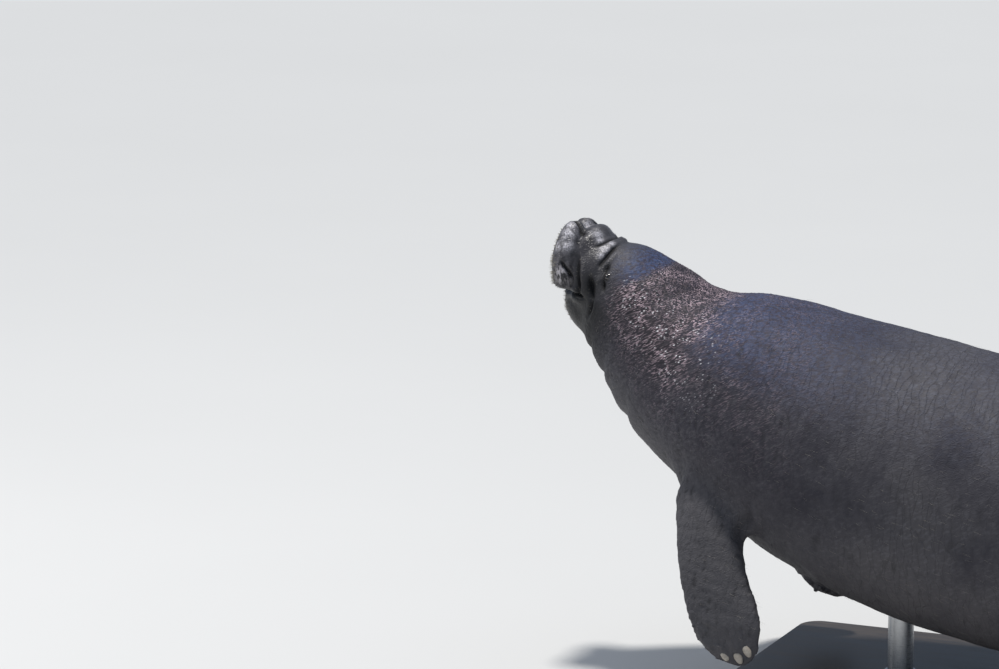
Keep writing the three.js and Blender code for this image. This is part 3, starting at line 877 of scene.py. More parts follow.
# Heights as shares, from 1 on the back over 0 at the widest line to -1 on the belly
BLUSH_LOW, BLUSH_EDGE, BLUSH_EDGE_RISE, BLUSH_EDGE_SOFT = (-0.7, 0.6), 0.45, 0.8, (-0.16, 0.14)
BACK_HEIGHT, BELLY_HEIGHT, GLINT_HEIGHT, GLINT_HALF = (0.3, 0.8), (0.1, 0.9), 0.45, 0.4
BLUSH_THINNING, BACK_FADING = 0.75, 0.85


def skin_values(p, deep, fine):
    """The numbers that the skin's colours follow, by name."""
    q = mirrored(p)
    x, _, z = q.T
    wide = trunk_lines["wide"](x)
    up = np.clip((z - wide) / (trunk_lines["back"](x) - wide), -1, 1)
    edge = BLUSH_EDGE + BLUSH_EDGE_RISE * region(x, "blush edge rises")
    blush = region(x, "blush") * (1 - BLUSH_THINNING * region(x, "blush thins"))
    blush *= smoothstep(up, *BLUSH_LOW) * fade(up, *(edge + soft for soft in BLUSH_EDGE_SOFT))
    back = region(x, "back") * (1 - BACK_FADING * region(x, "back fades"))
    # painted shade low on the face, behind the mouth's corner, before the eye and under the chin
    shades = [
        smoothstep(-z, *LOW_SHADE_HEIGHT) * region(x, "low shade"),
        hill(q, *CORNER_SHADE),
        EYE_SHADE_SHARE * hill(q, *EYE_SHADE),
        smoothstep(-z, *CHIN_HEIGHT) * region(x, "chin"),
    ]
    return {
        "deep": deep,
        "fine": fine,
        "face": region(x, "face"),
        # the back's blue, partly painted reflection of the sky, fading towards the tail
        "back": back * smoothstep(up, *BACK_HEIGHT),
        "trunk": region(x, "trunk"),
        "lined": region(x, "lined"),
        "blush": blush,
        "glints": region(x, "glints") * bump(up - GLINT_HEIGHT, GLINT_HALF),
        "shade": np.max(shades, axis=0),
        # painted glare on the snout's wet crests, kept out of the folds
        "painted_glare": np.max([hill(q, *painted_glare) for painted_glare in GLARE_SPOTS], axis=0) * (1 - deep),
        # the pale lower lobe of the lip pad, partly paler skin and partly painted glare
        "pale": bump((q - np.array(PALE_LOBE)) @ LOBE_TURN / PALE_LOBE_SIZE) * (1 - deep),
        "gloss": hill(q, *GLOSSY_PAD),
        "belly": smoothstep(-up, *BELLY_HEIGHT) * region(x, "belly"),
    }


def build_skin():
    """The posed skin, with its straight points and normals."""
    mesh, smooth, deep, fine = skin_mesh()
    straight, normal = places(mesh), vertex_normals(mesh)
    set_places(mesh, pose(straight))
    for name, values in skin_values(smooth, deep, fine).items():
        add_values(mesh, name, values)
    return smooth_object("skin", mesh), straight, normal


# Materials

class Look:
    """A node tree. An input is a number, a colour, a node's output, or the name of a mesh's value."""

    def __init__(self, owner):
        owner.use_nodes = True
        self.owner, self.tree = owner, owner.node_tree

    def feed(self, socket, value):
        if isinstance(value, str):
            value = self.add("Attribute", {}, attribute_name=value).outputs["Fac"]
        if isinstance(value, bpy.types.NodeSocket):
            self.tree.links.new(value, socket)
        else:
            socket.default_value = (*value, 1) if socket.type == "RGBA" else value

    def add(self, kind, inputs, **settings):
        node = self.tree.nodes.new("ShaderNode" + kind)
        for key, value in settings.items():
            setattr(node, key, value)
        for key, value in inputs.items():
            self.feed(node.inputs[key], value)
        return node

    def shade(self, inputs, shader="Principled BSDF"):
        """Feeds the shader, and gives back the material or world."""
        for key, value in inputs.items():
            self.feed(self.tree.nodes[shader].inputs[key], value)
        return self.owner

    def maths(self, operation, a, b):
        return self.add("Math", {0: a, 1: b}, operation=operation).outputs[0]

    def times(self, a, b):
        return self.maths("MULTIPLY", a, b)

    def blend(self, factor, a, b):
        return self.add("Mix", {0: factor, 6: a, 7: b}, data_type="RGBA").outputs[2]

    def paint(self, colour, *layers):
        """Lays layers of cover and colour over a colour."""
        for cover, top in layers:
            colour = self.blend(cover, colour, top)
        return colour

    def ranged(self, value, low, high, to_low=0.0, to_high=1.0):
        return self.add("MapRange", {0: value, 1: low, 2: high, 3: to_low, 4: to_high}).outputs[0]

    def stretch(self, place, scale):
        return self.add("Mapping", {"Vector": place, "Scale": scale}).outputs[0]

    def place(self, scale=(1, 1, 1), turn=(0, 0, 0)):
        """Object coordinates, turned and then stretched."""
        where = self.add("TexCoord", {}).outputs["Object"]
        return self.stretch(self.add("Mapping", {"Vector": where, "Rotation": turn}).outputs[0], scale)

    def noise(self, place, scale, detail=3.0, roughness=0.55, output="Fac"):
        inputs = {"Vector": place, "Scale": scale, "Detail": detail, "Roughness": roughness}
        return self.add("TexNoise", inputs).outputs[output]

    def cells(self, place, scale, feature="F1"):
        return self.add("TexVoronoi", {"Vector": place, "Scale": scale}, feature=feature).outputs["Distance"]

    def bumps(self, *layers):
        """A normal from layers of height, strength and depth in metres."""
        inputs = {}
        for height, strength, depth in layers:
            inputs.update({"Height": height, "Strength": strength, "Distance": depth})
            inputs["Normal"] = self.add("Bump", inputs).outputs[0]
        return inputs["Normal"]


SLATE = (0.036, 0.034, 0.047)
SLATE_DARK = (0.02, 0.0185, 0.028)
FACE_GREY = (0.062, 0.058, 0.064)
# the back's blue: partly the skin's own tone, partly painted reflection of the sky
BACK_BLUE_AND_SKY_REFLECTION = (0.045, 0.072, 0.17)
BACK_VIOLET = (0.038, 0.032, 0.062)
BLUSH = (0.015, 0.0095, 0.0145)
# the neck's pale strokes: partly pale skin, partly painted sheen off its wet pebbles
BLUSH_PALE_AND_SHEEN = (0.64, 0.48, 0.53)
BELLY_GREY = (0.09, 0.086, 0.09)
# the colour of the painted shade in folds, pits, wrinkle lines and the face's shaded parts
PAINTED_SHADE_DARK = (0.004, 0.004, 0.005)
# partly the pad's paler skin, partly painted glare
PAD_PALE_AND_GLARE = (0.62, 0.58, 0.6)
TRUNK_GREY = (0.072, 0.067, 0.072)
WORN = (0.1, 0.095, 0.105)
# the colour of the painted glare on the snout's wet crests
GLARE_PALE = (0.66, 0.64, 0.69)
GLINT_PALE = (0.85, 0.83, 0.86)
STROKE_TIP = 28  # degrees by which the pale strokes rise towards the tail
# Cells to the metre: along the strokes, through the skin, and across
STROKE_CELLS = tuple(1 / size for size in (0.014, 0.0042, 0.0031))
STREAK_CELLS = tuple(1 / size for size in (0.021, 0.0045, 0.0024))
VEIN_CELLS, GLINT_CELLS, LINE_CELLS = (60, 120, 150), (90, 170, 170), (54, 11, 11)
LINE_BEND, LINE_BEND_CELLS = (0.03, 0.03, 0.03), 22.0


def wrinkle_lines(look, place, patches):
    """The net of fine wrinkles on the trunk, 1 in a wrinkle."""
    wander = look.noise(place, LINE_BEND_CELLS, 2.0, 0.5, "Color")
    bent = look.add("VectorMath", {0: wander, 1: LINE_BEND, 2: place}, operation="MULTIPLY_ADD").outputs[0]
    edges = look.cells(look.stretch(bent, LINE_CELLS), 1.0, "DISTANCE_TO_EDGE")
    lines = look.maths("SUBTRACT", 1.0, look.ranged(edges, 0.0, 0.08))
    return look.times(look.times(lines, look.ranged(patches, 0.4, 0.6, 0.35, 1.0)), "lined")


def skin_material():
    look = Look(bpy.data.materials.new("manatee_skin"))
    place = look.place()
    tip = (0, math.radians(STROKE_TIP), 0)
    patches = look.noise(place, 5.0, 5.0, 0.6)
    mottle = look.noise(place, 46.0, 4.0, 0.6)
    grain = look.noise(place, 240.0, 3.0, 0.6)
    stroke = look.cells(look.place(STROKE_CELLS, tip), 1.0)
    streak = look.noise(look.place(STREAK_CELLS, tip), 1.0, 1.5)
    veins = look.noise(look.place(VEIN_CELLS, tip), 1.0)
    glint = look.cells(look.place(GLINT_CELLS, tip), 1.0)
    lines = wrinkle_lines(look, place, patches)
    worn = look.times(look.ranged(veins, 0.5, 0.68), look.ranged(patches, 0.4, 0.6, 0.2, 0.75))
    dots = look.maths("MAXIMUM", look.ranged(stroke, 0.38, 0.2), look.ranged(streak, 0.54, 0.64, 0.0, 0.8))
    dots = look.times(dots, look.ranged(mottle, 0.38, 0.56, 0.3, 1.0))
    dots = look.times(dots, look.ranged(look.noise(place, 17.0, 2.0), 0.38, 0.58, 0.3, 1.0))
    glints = look.times(look.ranged(glint, 0.3, 0.16), look.ranged(mottle, 0.49, 0.56))
    colour = look.paint(
        look.blend(look.ranged(patches, 0.36, 0.64), SLATE_DARK, SLATE),
        (look.times("trunk", look.ranged(patches, 0.34, 0.62, 0.15, 0.9)), TRUNK_GREY),
        (worn, WORN),
        (look.ranged("fine", 0.2, 1.2, 0.0, 0.4), WORN),
        (look.times("belly", 0.6), BELLY_GREY),
        # the back's blue and violet: partly the skin's own tone, partly painted reflection of the sky
        (look.times("back", 0.9), look.blend(look.ranged(veins, 0.38, 0.6), BACK_VIOLET, BACK_BLUE_AND_SKY_REFLECTION)),
        ("face", FACE_GREY),
        (look.times("blush", 0.9), BLUSH),
        # pale strokes on the neck: partly pale skin, partly painted sheen
        (look.times("blush", dots), BLUSH_PALE_AND_SHEEN),
        (look.times(glints, "glints"), GLINT_PALE),
        # painted glare on the snout's wet crests
        (look.times("painted_glare", look.ranged(grain, 0.36, 0.6, 0.25, 1.0)), GLARE_PALE),
        # the pale lower lobe of the lip pad: partly paler skin, partly painted glare
        (look.times("pale", look.ranged("fine", -0.3, 0.4)), PAD_PALE_AND_GLARE),
        # painted shade: in the wrinkle lines, in the pits of the fine relief, low on the face and under the
        # chin, and in the folds
        (look.times(lines, 0.2), PAINTED_SHADE_DARK),
        (look.ranged("fine", 0.1, -0.6, 0.0, 0.5), PAINTED_SHADE_DARK),
        (look.times("shade", 0.93), PAINTED_SHADE_DARK),
        (look.ranged("deep", 0.05, 0.7, 0.0, 0.95), PAINTED_SHADE_DARK),
    )
    dull = look.ranged(mottle, 0.35, 0.7, 0.64, 0.76)
    dull = look.maths("SUBTRACT", dull, look.times("face", 0.26))
    dull = look.maths("SUBTRACT", dull, look.times("gloss", 0.1))
    dull = look.maths("ADD", dull, look.ranged("deep", 0.1, 0.8, 0.0, 0.3))
    relief = look.bumps(
        (look.times(lines, -1.0), 0.6, 0.0015),
        (look.cells(place, 210.0), 0.4, 0.0012),
        (look.ranged(stroke, 0.5, 0.1), 0.5, 0.001),
        (grain, 0.3, 0.0007),
    )
    return look.shade({"Base Color": colour, "Roughness": dull, "Normal": relief,
                       "Specular IOR Level": 0.4})


def eye_material():
    look = Look(bpy.data.materials.new("manatee_eye"))
    flecks = look.noise(look.place(), 900.0, 2.0)
    iris = look.blend(flecks, (0.012, 0.008, 0.006), (0.03, 0.02, 0.013))
    white = look.blend(flecks, (0.02, 0.016, 0.015), (0.04, 0.033, 0.032))
    colour = look.paint((0.003, 0.003, 0.004), (look.ranged("ring", 0.2, 0.24), iris),
                        (look.ranged("ring", 0.52, 0.58), white))
    return look.shade({"Base Color": colour, "Roughness": 0.06, "Coat Weight": 1.0, "Coat Roughness": 0.03})


def nail_material():
    look = Look(bpy.data.materials.new("manatee_nail"))
    lines = look.noise(look.place((60, 60, 400)), 1.0)
    stain = look.noise(look.place(), 120.0)
    colour = look.paint(look.blend(lines, (0.33, 0.29, 0.24), (0.52, 0.47, 0.4)),
                        (look.ranged(stain, 0.45, 0.75, 0.0, 0.6), (0.2, 0.16, 0.13)))
    return look.shade({"Base Color": colour, "Roughness": look.ranged(stain, 0.3, 0.7, 0.32, 0.5),
                       "Normal": look.bumps((lines, 0.3, 0.0006))})


def bristle_material():
    look = Look(bpy.data.materials.new("manatee_bristle"))
    tone = look.noise(look.place(), 90.0)
    colour = look.paint(look.blend(tone, (0.26, 0.235, 0.19), (0.46, 0.42, 0.36)),
                        (look.ranged("along", 0.5, 0.0, 0.0, 0.85), (0.1, 0.09, 0.085)))
    return look.shade({"Base Color": colour, "Roughness": look.ranged(tone, 0.3, 0.7, 0.35, 0.5)})


def board_material():
    look = Look(bpy.data.materials.new("stained_board"))
    grain = look.noise(look.place((1.2, 14, 14)), 6.0, 8.0, 0.65)
    pores = look.noise(look.place((9, 260, 260)), 3.0, 2.0)
    stained = look.blend(look.ranged(grain, 0.35, 0.66), (0.032, 0.026, 0.022), (0.088, 0.07, 0.056))
    colour = look.paint(stained, (look.ranged(pores, 0.6, 0.7, 0.0, 0.7), (0.018, 0.015, 0.013)))
    height = look.maths("SUBTRACT", grain, look.ranged(pores, 0.6, 0.7, 0.0, 0.5))
    return look.shade({"Base Color": colour, "Roughness": look.ranged(grain, 0.3, 0.7, 0.34, 0.46),
                       "Normal": look.bumps((height, 0.15, 0.0005))})


def steel_material():
    look = Look(bpy.data.materials.new("brushed_steel"))
    brushing = look.noise(look.place((40, 40, 1600)), 1.0)
    colour = look.blend(look.noise(look.place(), 14.0, 4.0), (0.46, 0.47, 0.48), (0.62, 0.63, 0.64))
    return look.shade({"Base Color": colour, "Roughness": look.ranged(brushing, 0.3, 0.7, 0.24, 0.4),
                       "Metallic": 1.0, "Normal": look.bumps((brushing, 0.08, 0.0003))})


def floor_material():
    look = Look(bpy.data.materials.new("pale_floor"))
    colour = look.blend(look.noise(look.place(), 0.7), (0.63, 0.628, 0.62), (0.66, 0.658, 0.65))
    return look.shade({"Base Color": colour, "Roughness": 0.85})


def finish_piece(obj, material, slot, *nodes):
    obj.data.materials.clear()
    obj.data.materials.append(material)
    if nodes:
        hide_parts(*nodes)
    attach(obj, "root")


# Eyes and nails

EYE_GRID, NAIL_GRID = (48, 32), (28, 20)
EYE_OUTWARD = (-0.18, 0.97, 0.16)
CORNEA_HEIGHT, CORNEA_SIZE = 0.05, 0.18
NAIL_HALF = (14, 9, 5)
NAIL_SINK = (0.78, 0.72)
NAIL_PLACES = ((0.915, -0.62), (0.95, -0.12), (0.94, 0.4))
NAIL_BLUNTNESS, NAIL_ARCH, NAIL_TAPER = 0.8, 1.2, 0.18


def ball(name, grid, place):
    """A closed ball on a grid, whose unit points a function turns into metres."""
    bm = bmesh.new()
    bmesh.ops.create_uvsphere(bm, u_segments=grid[0], v_segments=grid[1], radius=1)
    mesh = bpy.data.meshes.new(name)
    bm.to_mesh(mesh)
    bm.free()
    points = places(mesh)
    set_places(mesh, place(points))
    return mesh, points


def build_eye(side, sign):
    """The ball, with a clear bulge in front, turned so that its pole looks out of the head."""
    turn = np.array(Vector((0, 0, 1)).rotation_difference(Vector(EYE_OUTWARD).normalized()).to_matrix())

    def place(points):
        bulge = 1 + CORNEA_HEIGHT * bump(1 - points[:, 2], CORNEA_SIZE)
        p = (points * bulge[:, None] * EYE_RADIUS) @ turn.T + np.array(EYE_CENTRE, float)
        return pose(p * (1, sign, 1))

    mesh, points = ball(f"eyeball_{side}", EYE_GRID, place)
    if sign < 0:
        mesh.flip_normals()
    add_values(mesh, "ring", np.arccos(np.clip(points[:, 2], -1, 1)))
    return smooth_object(f"eyeball_{side}", mesh)


def limb_frame(share):
    at = share * (LIMB_SAMPLES - 1)
    i = min(int(at), LIMB_SAMPLES - 2)
    t = at - i
    return [row[i] * (1 - t) + row[i + 1] * t for row in (limb_middle, limb_along, limb_across, limb_out)]


def build_nail(side, sign, number, along, across):
    """A curved horny plate on the flipper's outer face, blunt in front and sunk at its root."""
    middle, ahead, sideways, out = limb_frame(along)
    breadth, thickness = (line(np.array([along]))[0] for line in (limb_breadth, limb_thick))
    centre = (middle + sideways * breadth * across * NAIL_SINK[0]
              + out * thickness * math.sqrt(1 - across ** 2) * NAIL_SINK[1])
    long, wide, thick = NAIL_HALF

    def place(points):
        u, v, w = points.T
        flat_v = np.sign(v) * np.abs(v) ** NAIL_BLUNTNESS * (1 - NAIL_TAPER * u)
        arch = NAIL_ARCH * (0.5 - v ** 2)
        p = centre + np.outer(long * u, ahead) + np.outer(wide * flat_v, sideways)
        return pose((p + np.outer(thick * w + arch, out)) * (1, sign, 1))

    name = f"nail_plate_{side}_{number}"
    mesh, _ = ball(name, NAIL_GRID, place)
    bm = bmesh.new()
    bm.from_mesh(mesh)
    bmesh.ops.recalc_face_normals(bm, faces=bm.faces)
    bm.to_mesh(mesh)
    bm.free()
    return smooth_object(name, mesh)


# Bristles and hairs

COAT_SEED = 7
COAT_PATCH = 0.003
COAT_RUN = BODY_LENGTH + 400
HAIR_SINK, HAIR_THINNING = 0.12, 0.75

# Stiff bristles on the lip pads and chin, fine hairs on the muzzle and head, and sparse body hairs.
# A hair heads partly out of the skin and partly its own way, and curls back to the skin or down.
# Ways and curls stray by chance, and lengths and radii lie between two bounds.
COAT = {
    "bristles_lip_pads": {
        "count": 640, "out": 1, "way": (-0.3, 0, -0.12), "stray": 0.1, "length": (5, 9),
        "radius": (0.5, 0.8), "back": 0, "down": 0.12, "curl_stray": 0.03, "sides": 6, "rings": 4,
    },
    "bristles_pad_lobes": {
        "count": 220, "out": 0.8, "way": (-0.5, 0, -0.5), "stray": 0.1, "length": (3, 5.5),
        "radius": (0.22, 0.34), "back": 0, "down": 0, "curl_stray": 0.03, "sides": 5, "rings": 3,
    },
    "bristles_chin": {
        "count": 240, "out": 1, "way": (-0.5, 0, 0.1), "stray": 0.15, "length": (4, 8),
        "radius": (0.4, 0.65), "back": 0, "down": 0, "curl_stray": 0.06, "sides": 6, "rings": 4,
    },
    "hairs_head": {
        "count": 700, "out": 0.55, "way": (0.8, 0, -0.15), "stray": 0.15, "length": (6, 11),
        "radius": (0.1, 0.16), "back": 0.25, "down": 0, "curl_stray": 0.05, "sides": 4, "rings": 4,
    },
    "hairs_body": {
        "count": 3600, "out": 0.3, "way": (1, 0, -0.1), "stray": 0.12, "length": (16, 34),
        "radius": (0.11, 0.17), "back": 0.18, "down": 0, "curl_stray": 0.05, "sides": 4, "rings": 4,
    },
}
PAD_HEIGHTS, PAD_SIDE, PAD_FRONT = ((-74, -52), (58, 80)), (8, 24), (0.25, 0.6)
LOW_ON_PAD, LOW_ON_PAD_LEAST = (-30, 30), 0.45
LONG_LOW_ON_PAD = (0.75, 0.4)
LOBE_HAIRS, EYE_BARE = ((78, 98, -22), 26), 22
CHIN_HAIR_HEIGHT, TAIL_HAIR_THINNING = (62, 80), 0.7


def coat_map(p):
    """The skin's unwrap, in straight-pose millimetres: round the body, and along its profile."""
    x, y, z = p.T
    middle = trunk_lines["wide"](np.maximum(x, TRUNK["x"][0]))
    turn = np.arctan2(y, z - middle) / (2 * math.pi) + 0.5
    run = (x + np.hypot(y, z - middle)) / COAT_RUN
    return np.stack([turn, np.clip(run, 0, 1)], 1)


def build_hairs(name, root, heading, curl, length, radius, sides, rings):
    """Tapered, bent hairs as one closed mesh. All is in straight-pose millimetres."""
    count, per = len(root), rings * sides + 1
    heading = heading / np.linalg.norm(heading, axis=1)[:, None]
    helper = np.where(np.abs(heading[:, :1]) < 0.8, [[1.0, 0, 0]], [[0, 0, 1.0]])
    first = np.cross(heading, helper)
    first /= np.linalg.norm(first, axis=1)[:, None]
    second = np.cross(heading, first)
    points = []
    for t in np.arange(rings) / rings:
        middle = root + heading * (length * (t - HAIR_SINK))[:, None] + curl * (length * t * t)[:, None]
        thick = radius * (1 - HAIR_THINNING * t)
        for angle in np.arange(sides) * 2 * math.pi / sides:
            ring = first * math.cos(angle) + second * math.sin(angle)
            points.append(middle + ring * thick[:, None])
    points.append(root + heading * (length * (1 - HAIR_SINK))[:, None] + curl * length[:, None])
    p = np.stack(points, 1).reshape(count * per, 3)
    faces = [list(range(sides))[::-1]]
    last = (rings - 1) * sides
    for s in range(sides):
        after = (s + 1) % sides
        faces += [[k + s, k + after, k + sides + after, k + sides + s] for k in range(0, last, sides)]
        faces.append([last + s, last + after, per - 1])
    all_faces = [[i + start for i in face] for start in range(0, count * per, per) for face in faces]
    mesh = new_mesh(name, pose(p).tolist(), all_faces)
    along = np.append(np.repeat(np.arange(rings) / rings, sides), 1.0)
    add_values(mesh, "along", np.tile(along, count))
    patch_u = np.append(np.tile(np.arange(sides) / sides, rings), 0.5)
    patch = np.stack([patch_u, along], 1) * COAT_PATCH
    uv = (coat_map(root)[:, None] + patch[None]).reshape(-1, 2)
    corner = read(mesh.loops, "vertex_index", kind=np.int32)
    mesh.uv_layers.new(name="OFBake").data.foreach_set("uv", uv[corner].ravel())
    return smooth_object(name, mesh)


def vertex_areas(mesh):
    size, sides = read(mesh.polygons, "area"), read(mesh.polygons, "loop_total", kind=np.int32)
    area = np.zeros(len(mesh.vertices))
    np.add.at(area, read(mesh.loops, "vertex_index", kind=np.int32), np.repeat(size / sides, sides))
    return area


def coat_weights(p, normal):
    """How thickly each kind of hair grows at each point of the skin."""
    q = mirrored(p)
    x, y, z = q.T
    front = smoothstep(-normal[:, 0], *PAD_FRONT)
    pad = region(x, "pad bristles") * smoothstep(z, *PAD_HEIGHTS[0]) * fade(z, *PAD_HEIGHTS[1])
    low = LOW_ON_PAD_LEAST + smoothstep(-z, *LOW_ON_PAD)
    thin = 1 - TAIL_HAIR_THINNING * region(x, "tail hairs thin")
    return {
        "bristles_lip_pads": pad * smoothstep(y, *PAD_SIDE) * front * low,
        "bristles_pad_lobes": hill(q, *LOBE_HAIRS) * (1 - front),
        "bristles_chin": smoothstep(-z, *CHIN_HAIR_HEIGHT) * region(x, "chin bristles"),
        "hairs_head": region(x, "head hairs") * (1 - hill(q, EYE_CENTRE, EYE_BARE)),
        "hairs_body": region(x, "body hairs") * thin,
    }


def build_coat(skin, straight, normal):
    """The pieces of the coat, rooted in vertices of the skin that are picked at random."""
    rng = np.random.default_rng(COAT_SEED)
    area = vertex_areas(skin.data)
    weights = coat_weights(straight, normal)
    made = []
    for name, kind in COAT.items():
        weight = area * weights[name]
        picked = rng.choice(len(straight), size=kind["count"], replace=False, p=weight / weight.sum())
        root, out = straight[picked], normal[picked]
        heading = out * kind["out"] + kind["way"] + rng.normal(0, kind["stray"], root.shape)
        length = rng.uniform(*kind["length"], len(root))
        if name == "bristles_lip_pads":
            short, more = LONG_LOW_ON_PAD
            length *= short + more * smoothstep(-root[:, 2], *LOW_ON_PAD)
        radius = rng.uniform(*kind["radius"], len(root))
        curl = np.array([0, 0, -kind["down"]]) - out * kind["back"]
        curl = curl + rng.normal(0, kind["curl_stray"], root.shape)
        made.append(build_hairs(name, root, heading, curl, length, radius, kind["sides"], kind["rings"]))
    return made


# The stand, in metres

BASE = {"length": 1.56, "width": 0.82, "thickness": 0.03, "corner": 0.06}
# The board's edge: how far in and how high, with a small cove and a rounded top edge
BASE_EDGE = ((0.002, 0), (0, 0.002), (0, 0.017), (0.002, 0.0185), (0.0045, 0.019), (0.0055, 0.0215))
BASE_ROUND, BASE_ROUND_FROM, BASE_ROUND_STEPS = 0.0075, (0.0055, 0.0225), 6
CORNER_STEPS, ROUND_SIDES = 14, 64
SHARP_ANGLE = math.radians(35)
ROD_RADIUS, ROD_EDGE, JOINT_GAP = 0.03, 0.002, 0.0005
ROD_PLACES = {"front": -0.395, "rear": 0.48}
# The flange's section: radius, and height over the board
FLANGE = ((0.058, 0), (0.058, 0.005), (0.0565, 0.0065), (0.04, 0.0065), (0.0375, 0.009),
          (0.0365, 0.018), (0.035, 0.0195), (0.0302, 0.0195), (0.0302, JOINT_GAP))
SCREW_CIRCLE, SCREW_HEIGHT, SCREW_RADIUS, SCREW_FLATNESS = 0.049, 0.0068, 0.0045, 0.45
SCREW_COUNT, SCREW_GRID = 4, (20, 10)


def board_outline(inset, height):
    points = []
    corner = BASE["corner"] - inset
    for turn, (sx, sy) in enumerate(((1, 1), (-1, 1), (-1, -1), (1, -1))):
        x, y = sx * (BASE["length"] / 2 - inset - corner), sy * (BASE["width"] / 2 - inset - corner)
        for k in range(CORNER_STEPS + 1):
            a = math.pi / 2 * (turn + k / CORNER_STEPS)
            points.append((x + corner * math.cos(a), y + corner * math.sin(a), height))
    return points


def circle(x, radius, height):
    angles = [2 * math.pi * s / ROUND_SIDES for s in range(ROUND_SIDES)]
    return [(x + radius * math.cos(a), radius * math.sin(a), height) for a in angles]


def loft(name, rings, tube=False):
    """A solid through rings of points, with flat ends, or joined end to end as a tube."""
    size, count = len(rings[0]), len(rings)
    faces = [] if tube else [list(range(size))[::-1], list(range((count - 1) * size, count * size))]
    for k in range(count if tube else count - 1):
        low, high = k * size, (k + 1) % count * size
        for s in range(size):
            after = (s + 1) % size
            faces.append([low + s, low + after, high + after, high + s])
    return new_mesh(name, [point for ring in rings for point in ring], faces)


def edged_object(mesh):
    """A smooth object that keeps the mesh's sharp edges."""
    obj = smooth_object(mesh.name, mesh)
    mesh.set_sharp_from_angle(angle=SHARP_ANGLE)
    return obj


def build_base():
    """A board with a small cove and a rounded top edge."""
    profile = list(BASE_EDGE)
    for k in range(BASE_ROUND_STEPS + 1):
        a = math.pi / 2 * k / BASE_ROUND_STEPS
        profile.append((BASE_ROUND_FROM[0] + BASE_ROUND * (1 - math.cos(a)),
                        BASE_ROUND_FROM[1] + BASE_ROUND * math.sin(a)))
    return edged_object(loft("stand_board", [board_outline(*point) for point in profile]))


def build_rod(place, x):
    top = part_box(f"stand_rod_{place}")[1][2]
    profile = ((ROD_RADIUS, BASE["thickness"] + JOINT_GAP), (ROD_RADIUS, top - ROD_EDGE),
               (ROD_RADIUS - ROD_EDGE, top))
    return edged_object(loft(f"stand_post_{place}", [circle(x, *point) for point in profile]))


def build_flange(place, x):
    """The flange that screws a rod to the board, with its screw heads."""
    foot = BASE["thickness"]
    mesh = loft(f"stand_flange_{place}", [circle(x, r, foot + height) for r, height in FLANGE], True)
    bm = bmesh.new()
    bm.from_mesh(mesh)
    for turn in range(SCREW_COUNT):
        a = 2 * math.pi * (turn + 0.5) / SCREW_COUNT
        spot = Vector((x + SCREW_CIRCLE * math.cos(a), SCREW_CIRCLE * math.sin(a), foot + SCREW_HEIGHT))
        flat = Matrix.Translation(spot) @ Matrix.Scale(SCREW_FLATNESS, 4, (0, 0, 1))
        bmesh.ops.create_uvsphere(bm, u_segments=SCREW_GRID[0], v_segments=SCREW_GRID[1],
                                  radius=SCREW_RADIUS, matrix=flat)
    bmesh.ops.recalc_face_normals(bm, faces=bm.faces)
    bm.to_mesh(mesh)
    bm.free()
    return edged_object(mesh)


# Camera, floor and lights

VIEW = {"azimuth": 23.4, "elevation": 12.0, "distance": 12.0}
PHOTO_SIZE = (999, 669)
METRES_PER_PIXEL = 0.00235
HEAD_PIXEL = (575.0, 303.0)
HEAD_POINT = (-1.21504, 0.0, 0.849647)
SENSOR = 36.0
SEES_TO = 200
FLOOR_SIZE = 120
AMBIENT, BACKDROP = (0.2, 0.25, 0.33), (0.9, 0.93, 0.96)
SUN = {"energy": 2.9, "color": (1.0, 0.97, 0.92), "angle": math.radians(6)}
SUN_FROM = (-0.04, 0.02, 0.99)
LAMP = {"energy": 60, "color": (1.0, 0.98, 0.96), "shape": "RECTANGLE", "size": 1.8, "size_y": 1.8}
LAMP_PLACE, LAMP_TARGET = (-4.4, -1.2, 3.9), (-1.2, 0, 0.9)


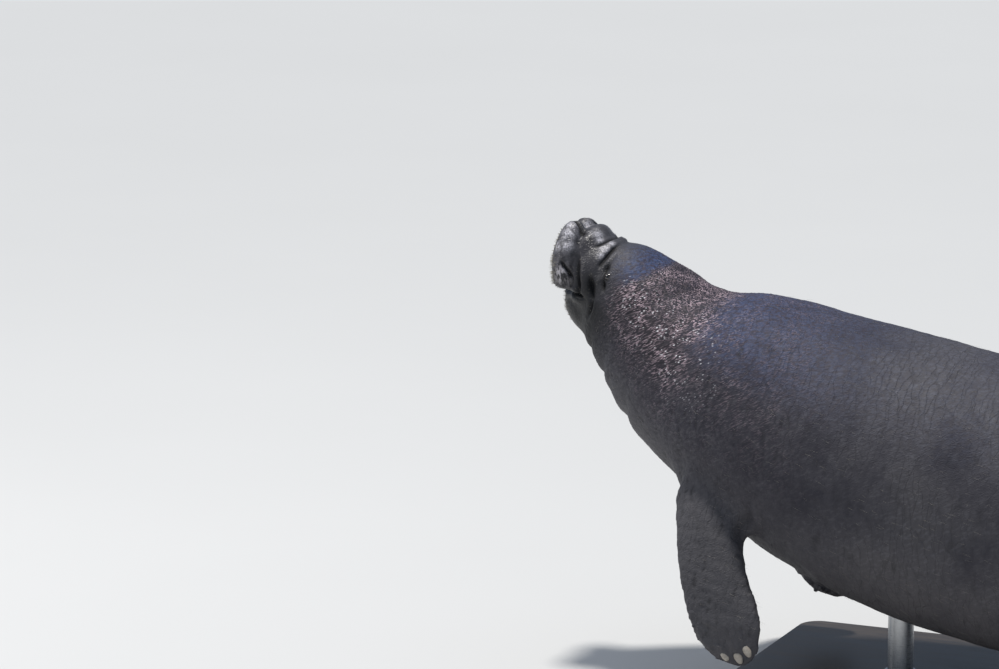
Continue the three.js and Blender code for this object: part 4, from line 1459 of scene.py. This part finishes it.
def build_camera():
    """The photo's view: HEAD_POINT shows at HEAD_PIXEL."""
    azimuth, elevation = math.radians(VIEW["azimuth"]), math.radians(VIEW["elevation"])
    back = Vector((math.sin(azimuth) * math.cos(elevation), -math.cos(azimuth) * math.cos(elevation),
                   math.sin(elevation)))
    right = Vector((math.cos(azimuth), math.sin(azimuth), 0))
    up = back.cross(right)
    focal = VIEW["distance"] / METRES_PER_PIXEL
    dx = (HEAD_PIXEL[0] - PHOTO_SIZE[0] / 2) / focal
    dy = (PHOTO_SIZE[1] / 2 - HEAD_PIXEL[1]) / focal
    data = bpy.data.cameras.new("camera")
    data.sensor_width = SENSOR
    data.lens = SENSOR * focal / PHOTO_SIZE[0]
    data.clip_end = SEES_TO
    camera = add_object("camera", data)
    camera.location = Vector(HEAD_POINT) + VIEW["distance"] * (back - dx * right - dy * up)
    camera.rotation_mode = "QUATERNION"
    camera.rotation_quaternion = (-back).to_track_quat("-Z", "Y")
    bpy.context.scene.camera = camera


def add_light(name, kind, settings, towards):
    """A light that shines from a direction."""
    data = bpy.data.lights.new(name, kind)
    for key, value in settings.items():
        setattr(data, key, value)
    light = add_object(name, data)
    light.rotation_euler = (-Vector(towards)).to_track_quat("-Z", "Y").to_euler()
    return light


def build_stage():
    bpy.ops.mesh.primitive_plane_add(size=FLOOR_SIZE)
    floor = bpy.context.object
    floor.name = "floor"
    floor.data.materials.append(floor_material())
    world = Look(bpy.data.worlds.new("studio"))
    seen = world.add("LightPath", {}).outputs["Is Camera Ray"]
    world.shade({"Color": world.blend(seen, AMBIENT, BACKDROP)}, "Background")
    bpy.context.scene.world = world.owner
    bpy.context.scene.view_settings.view_transform = "Standard"
    add_light("sun", "SUN", SUN, SUN_FROM)
    lamp = add_light("front", "AREA", LAMP, Vector(LAMP_PLACE) - Vector(LAMP_TARGET))
    lamp.location = LAMP_PLACE
    lamp.visible_camera = False


build_camera()
build_stage()

skin_looks = skin_material()
skin, skin_points, skin_normals = build_skin()
flesh = ["muzzle", "lower_jaw", "head", "neck", "trunk_front", "trunk_middle", "trunk_rear",
         "tail_stock", "tail_paddle"]
flesh += [f"flipper_{side}_{part}" for side in ("left", "right") for part in ("arm", "hand")]
finish_piece(skin, skin_looks, "skin", *flesh)

eye_looks, nail_looks = eye_material(), nail_material()
for side, sign in (("left", -1), ("right", 1)):
    finish_piece(build_eye(side, sign), eye_looks, "eye", f"eye_{side}")
    for number, (along, across) in enumerate(NAIL_PLACES, 1):
        nail = build_nail(side, sign, number, along, across)
        finish_piece(nail, nail_looks, "nail", f"nail_{side}_{number}")

bristle_looks = bristle_material()
for piece in build_coat(skin, skin_points, skin_normals):
    finish_piece(piece, bristle_looks, "bristle")

finish_piece(build_base(), board_material(), "stand_base", "stand_base")
steel_looks = steel_material()
for place, x in ROD_PLACES.items():
    finish_piece(build_rod(place, x), steel_looks, "stand_rod", f"stand_rod_{place}")
    finish_piece(build_flange(place, x), steel_looks, "stand_rod")
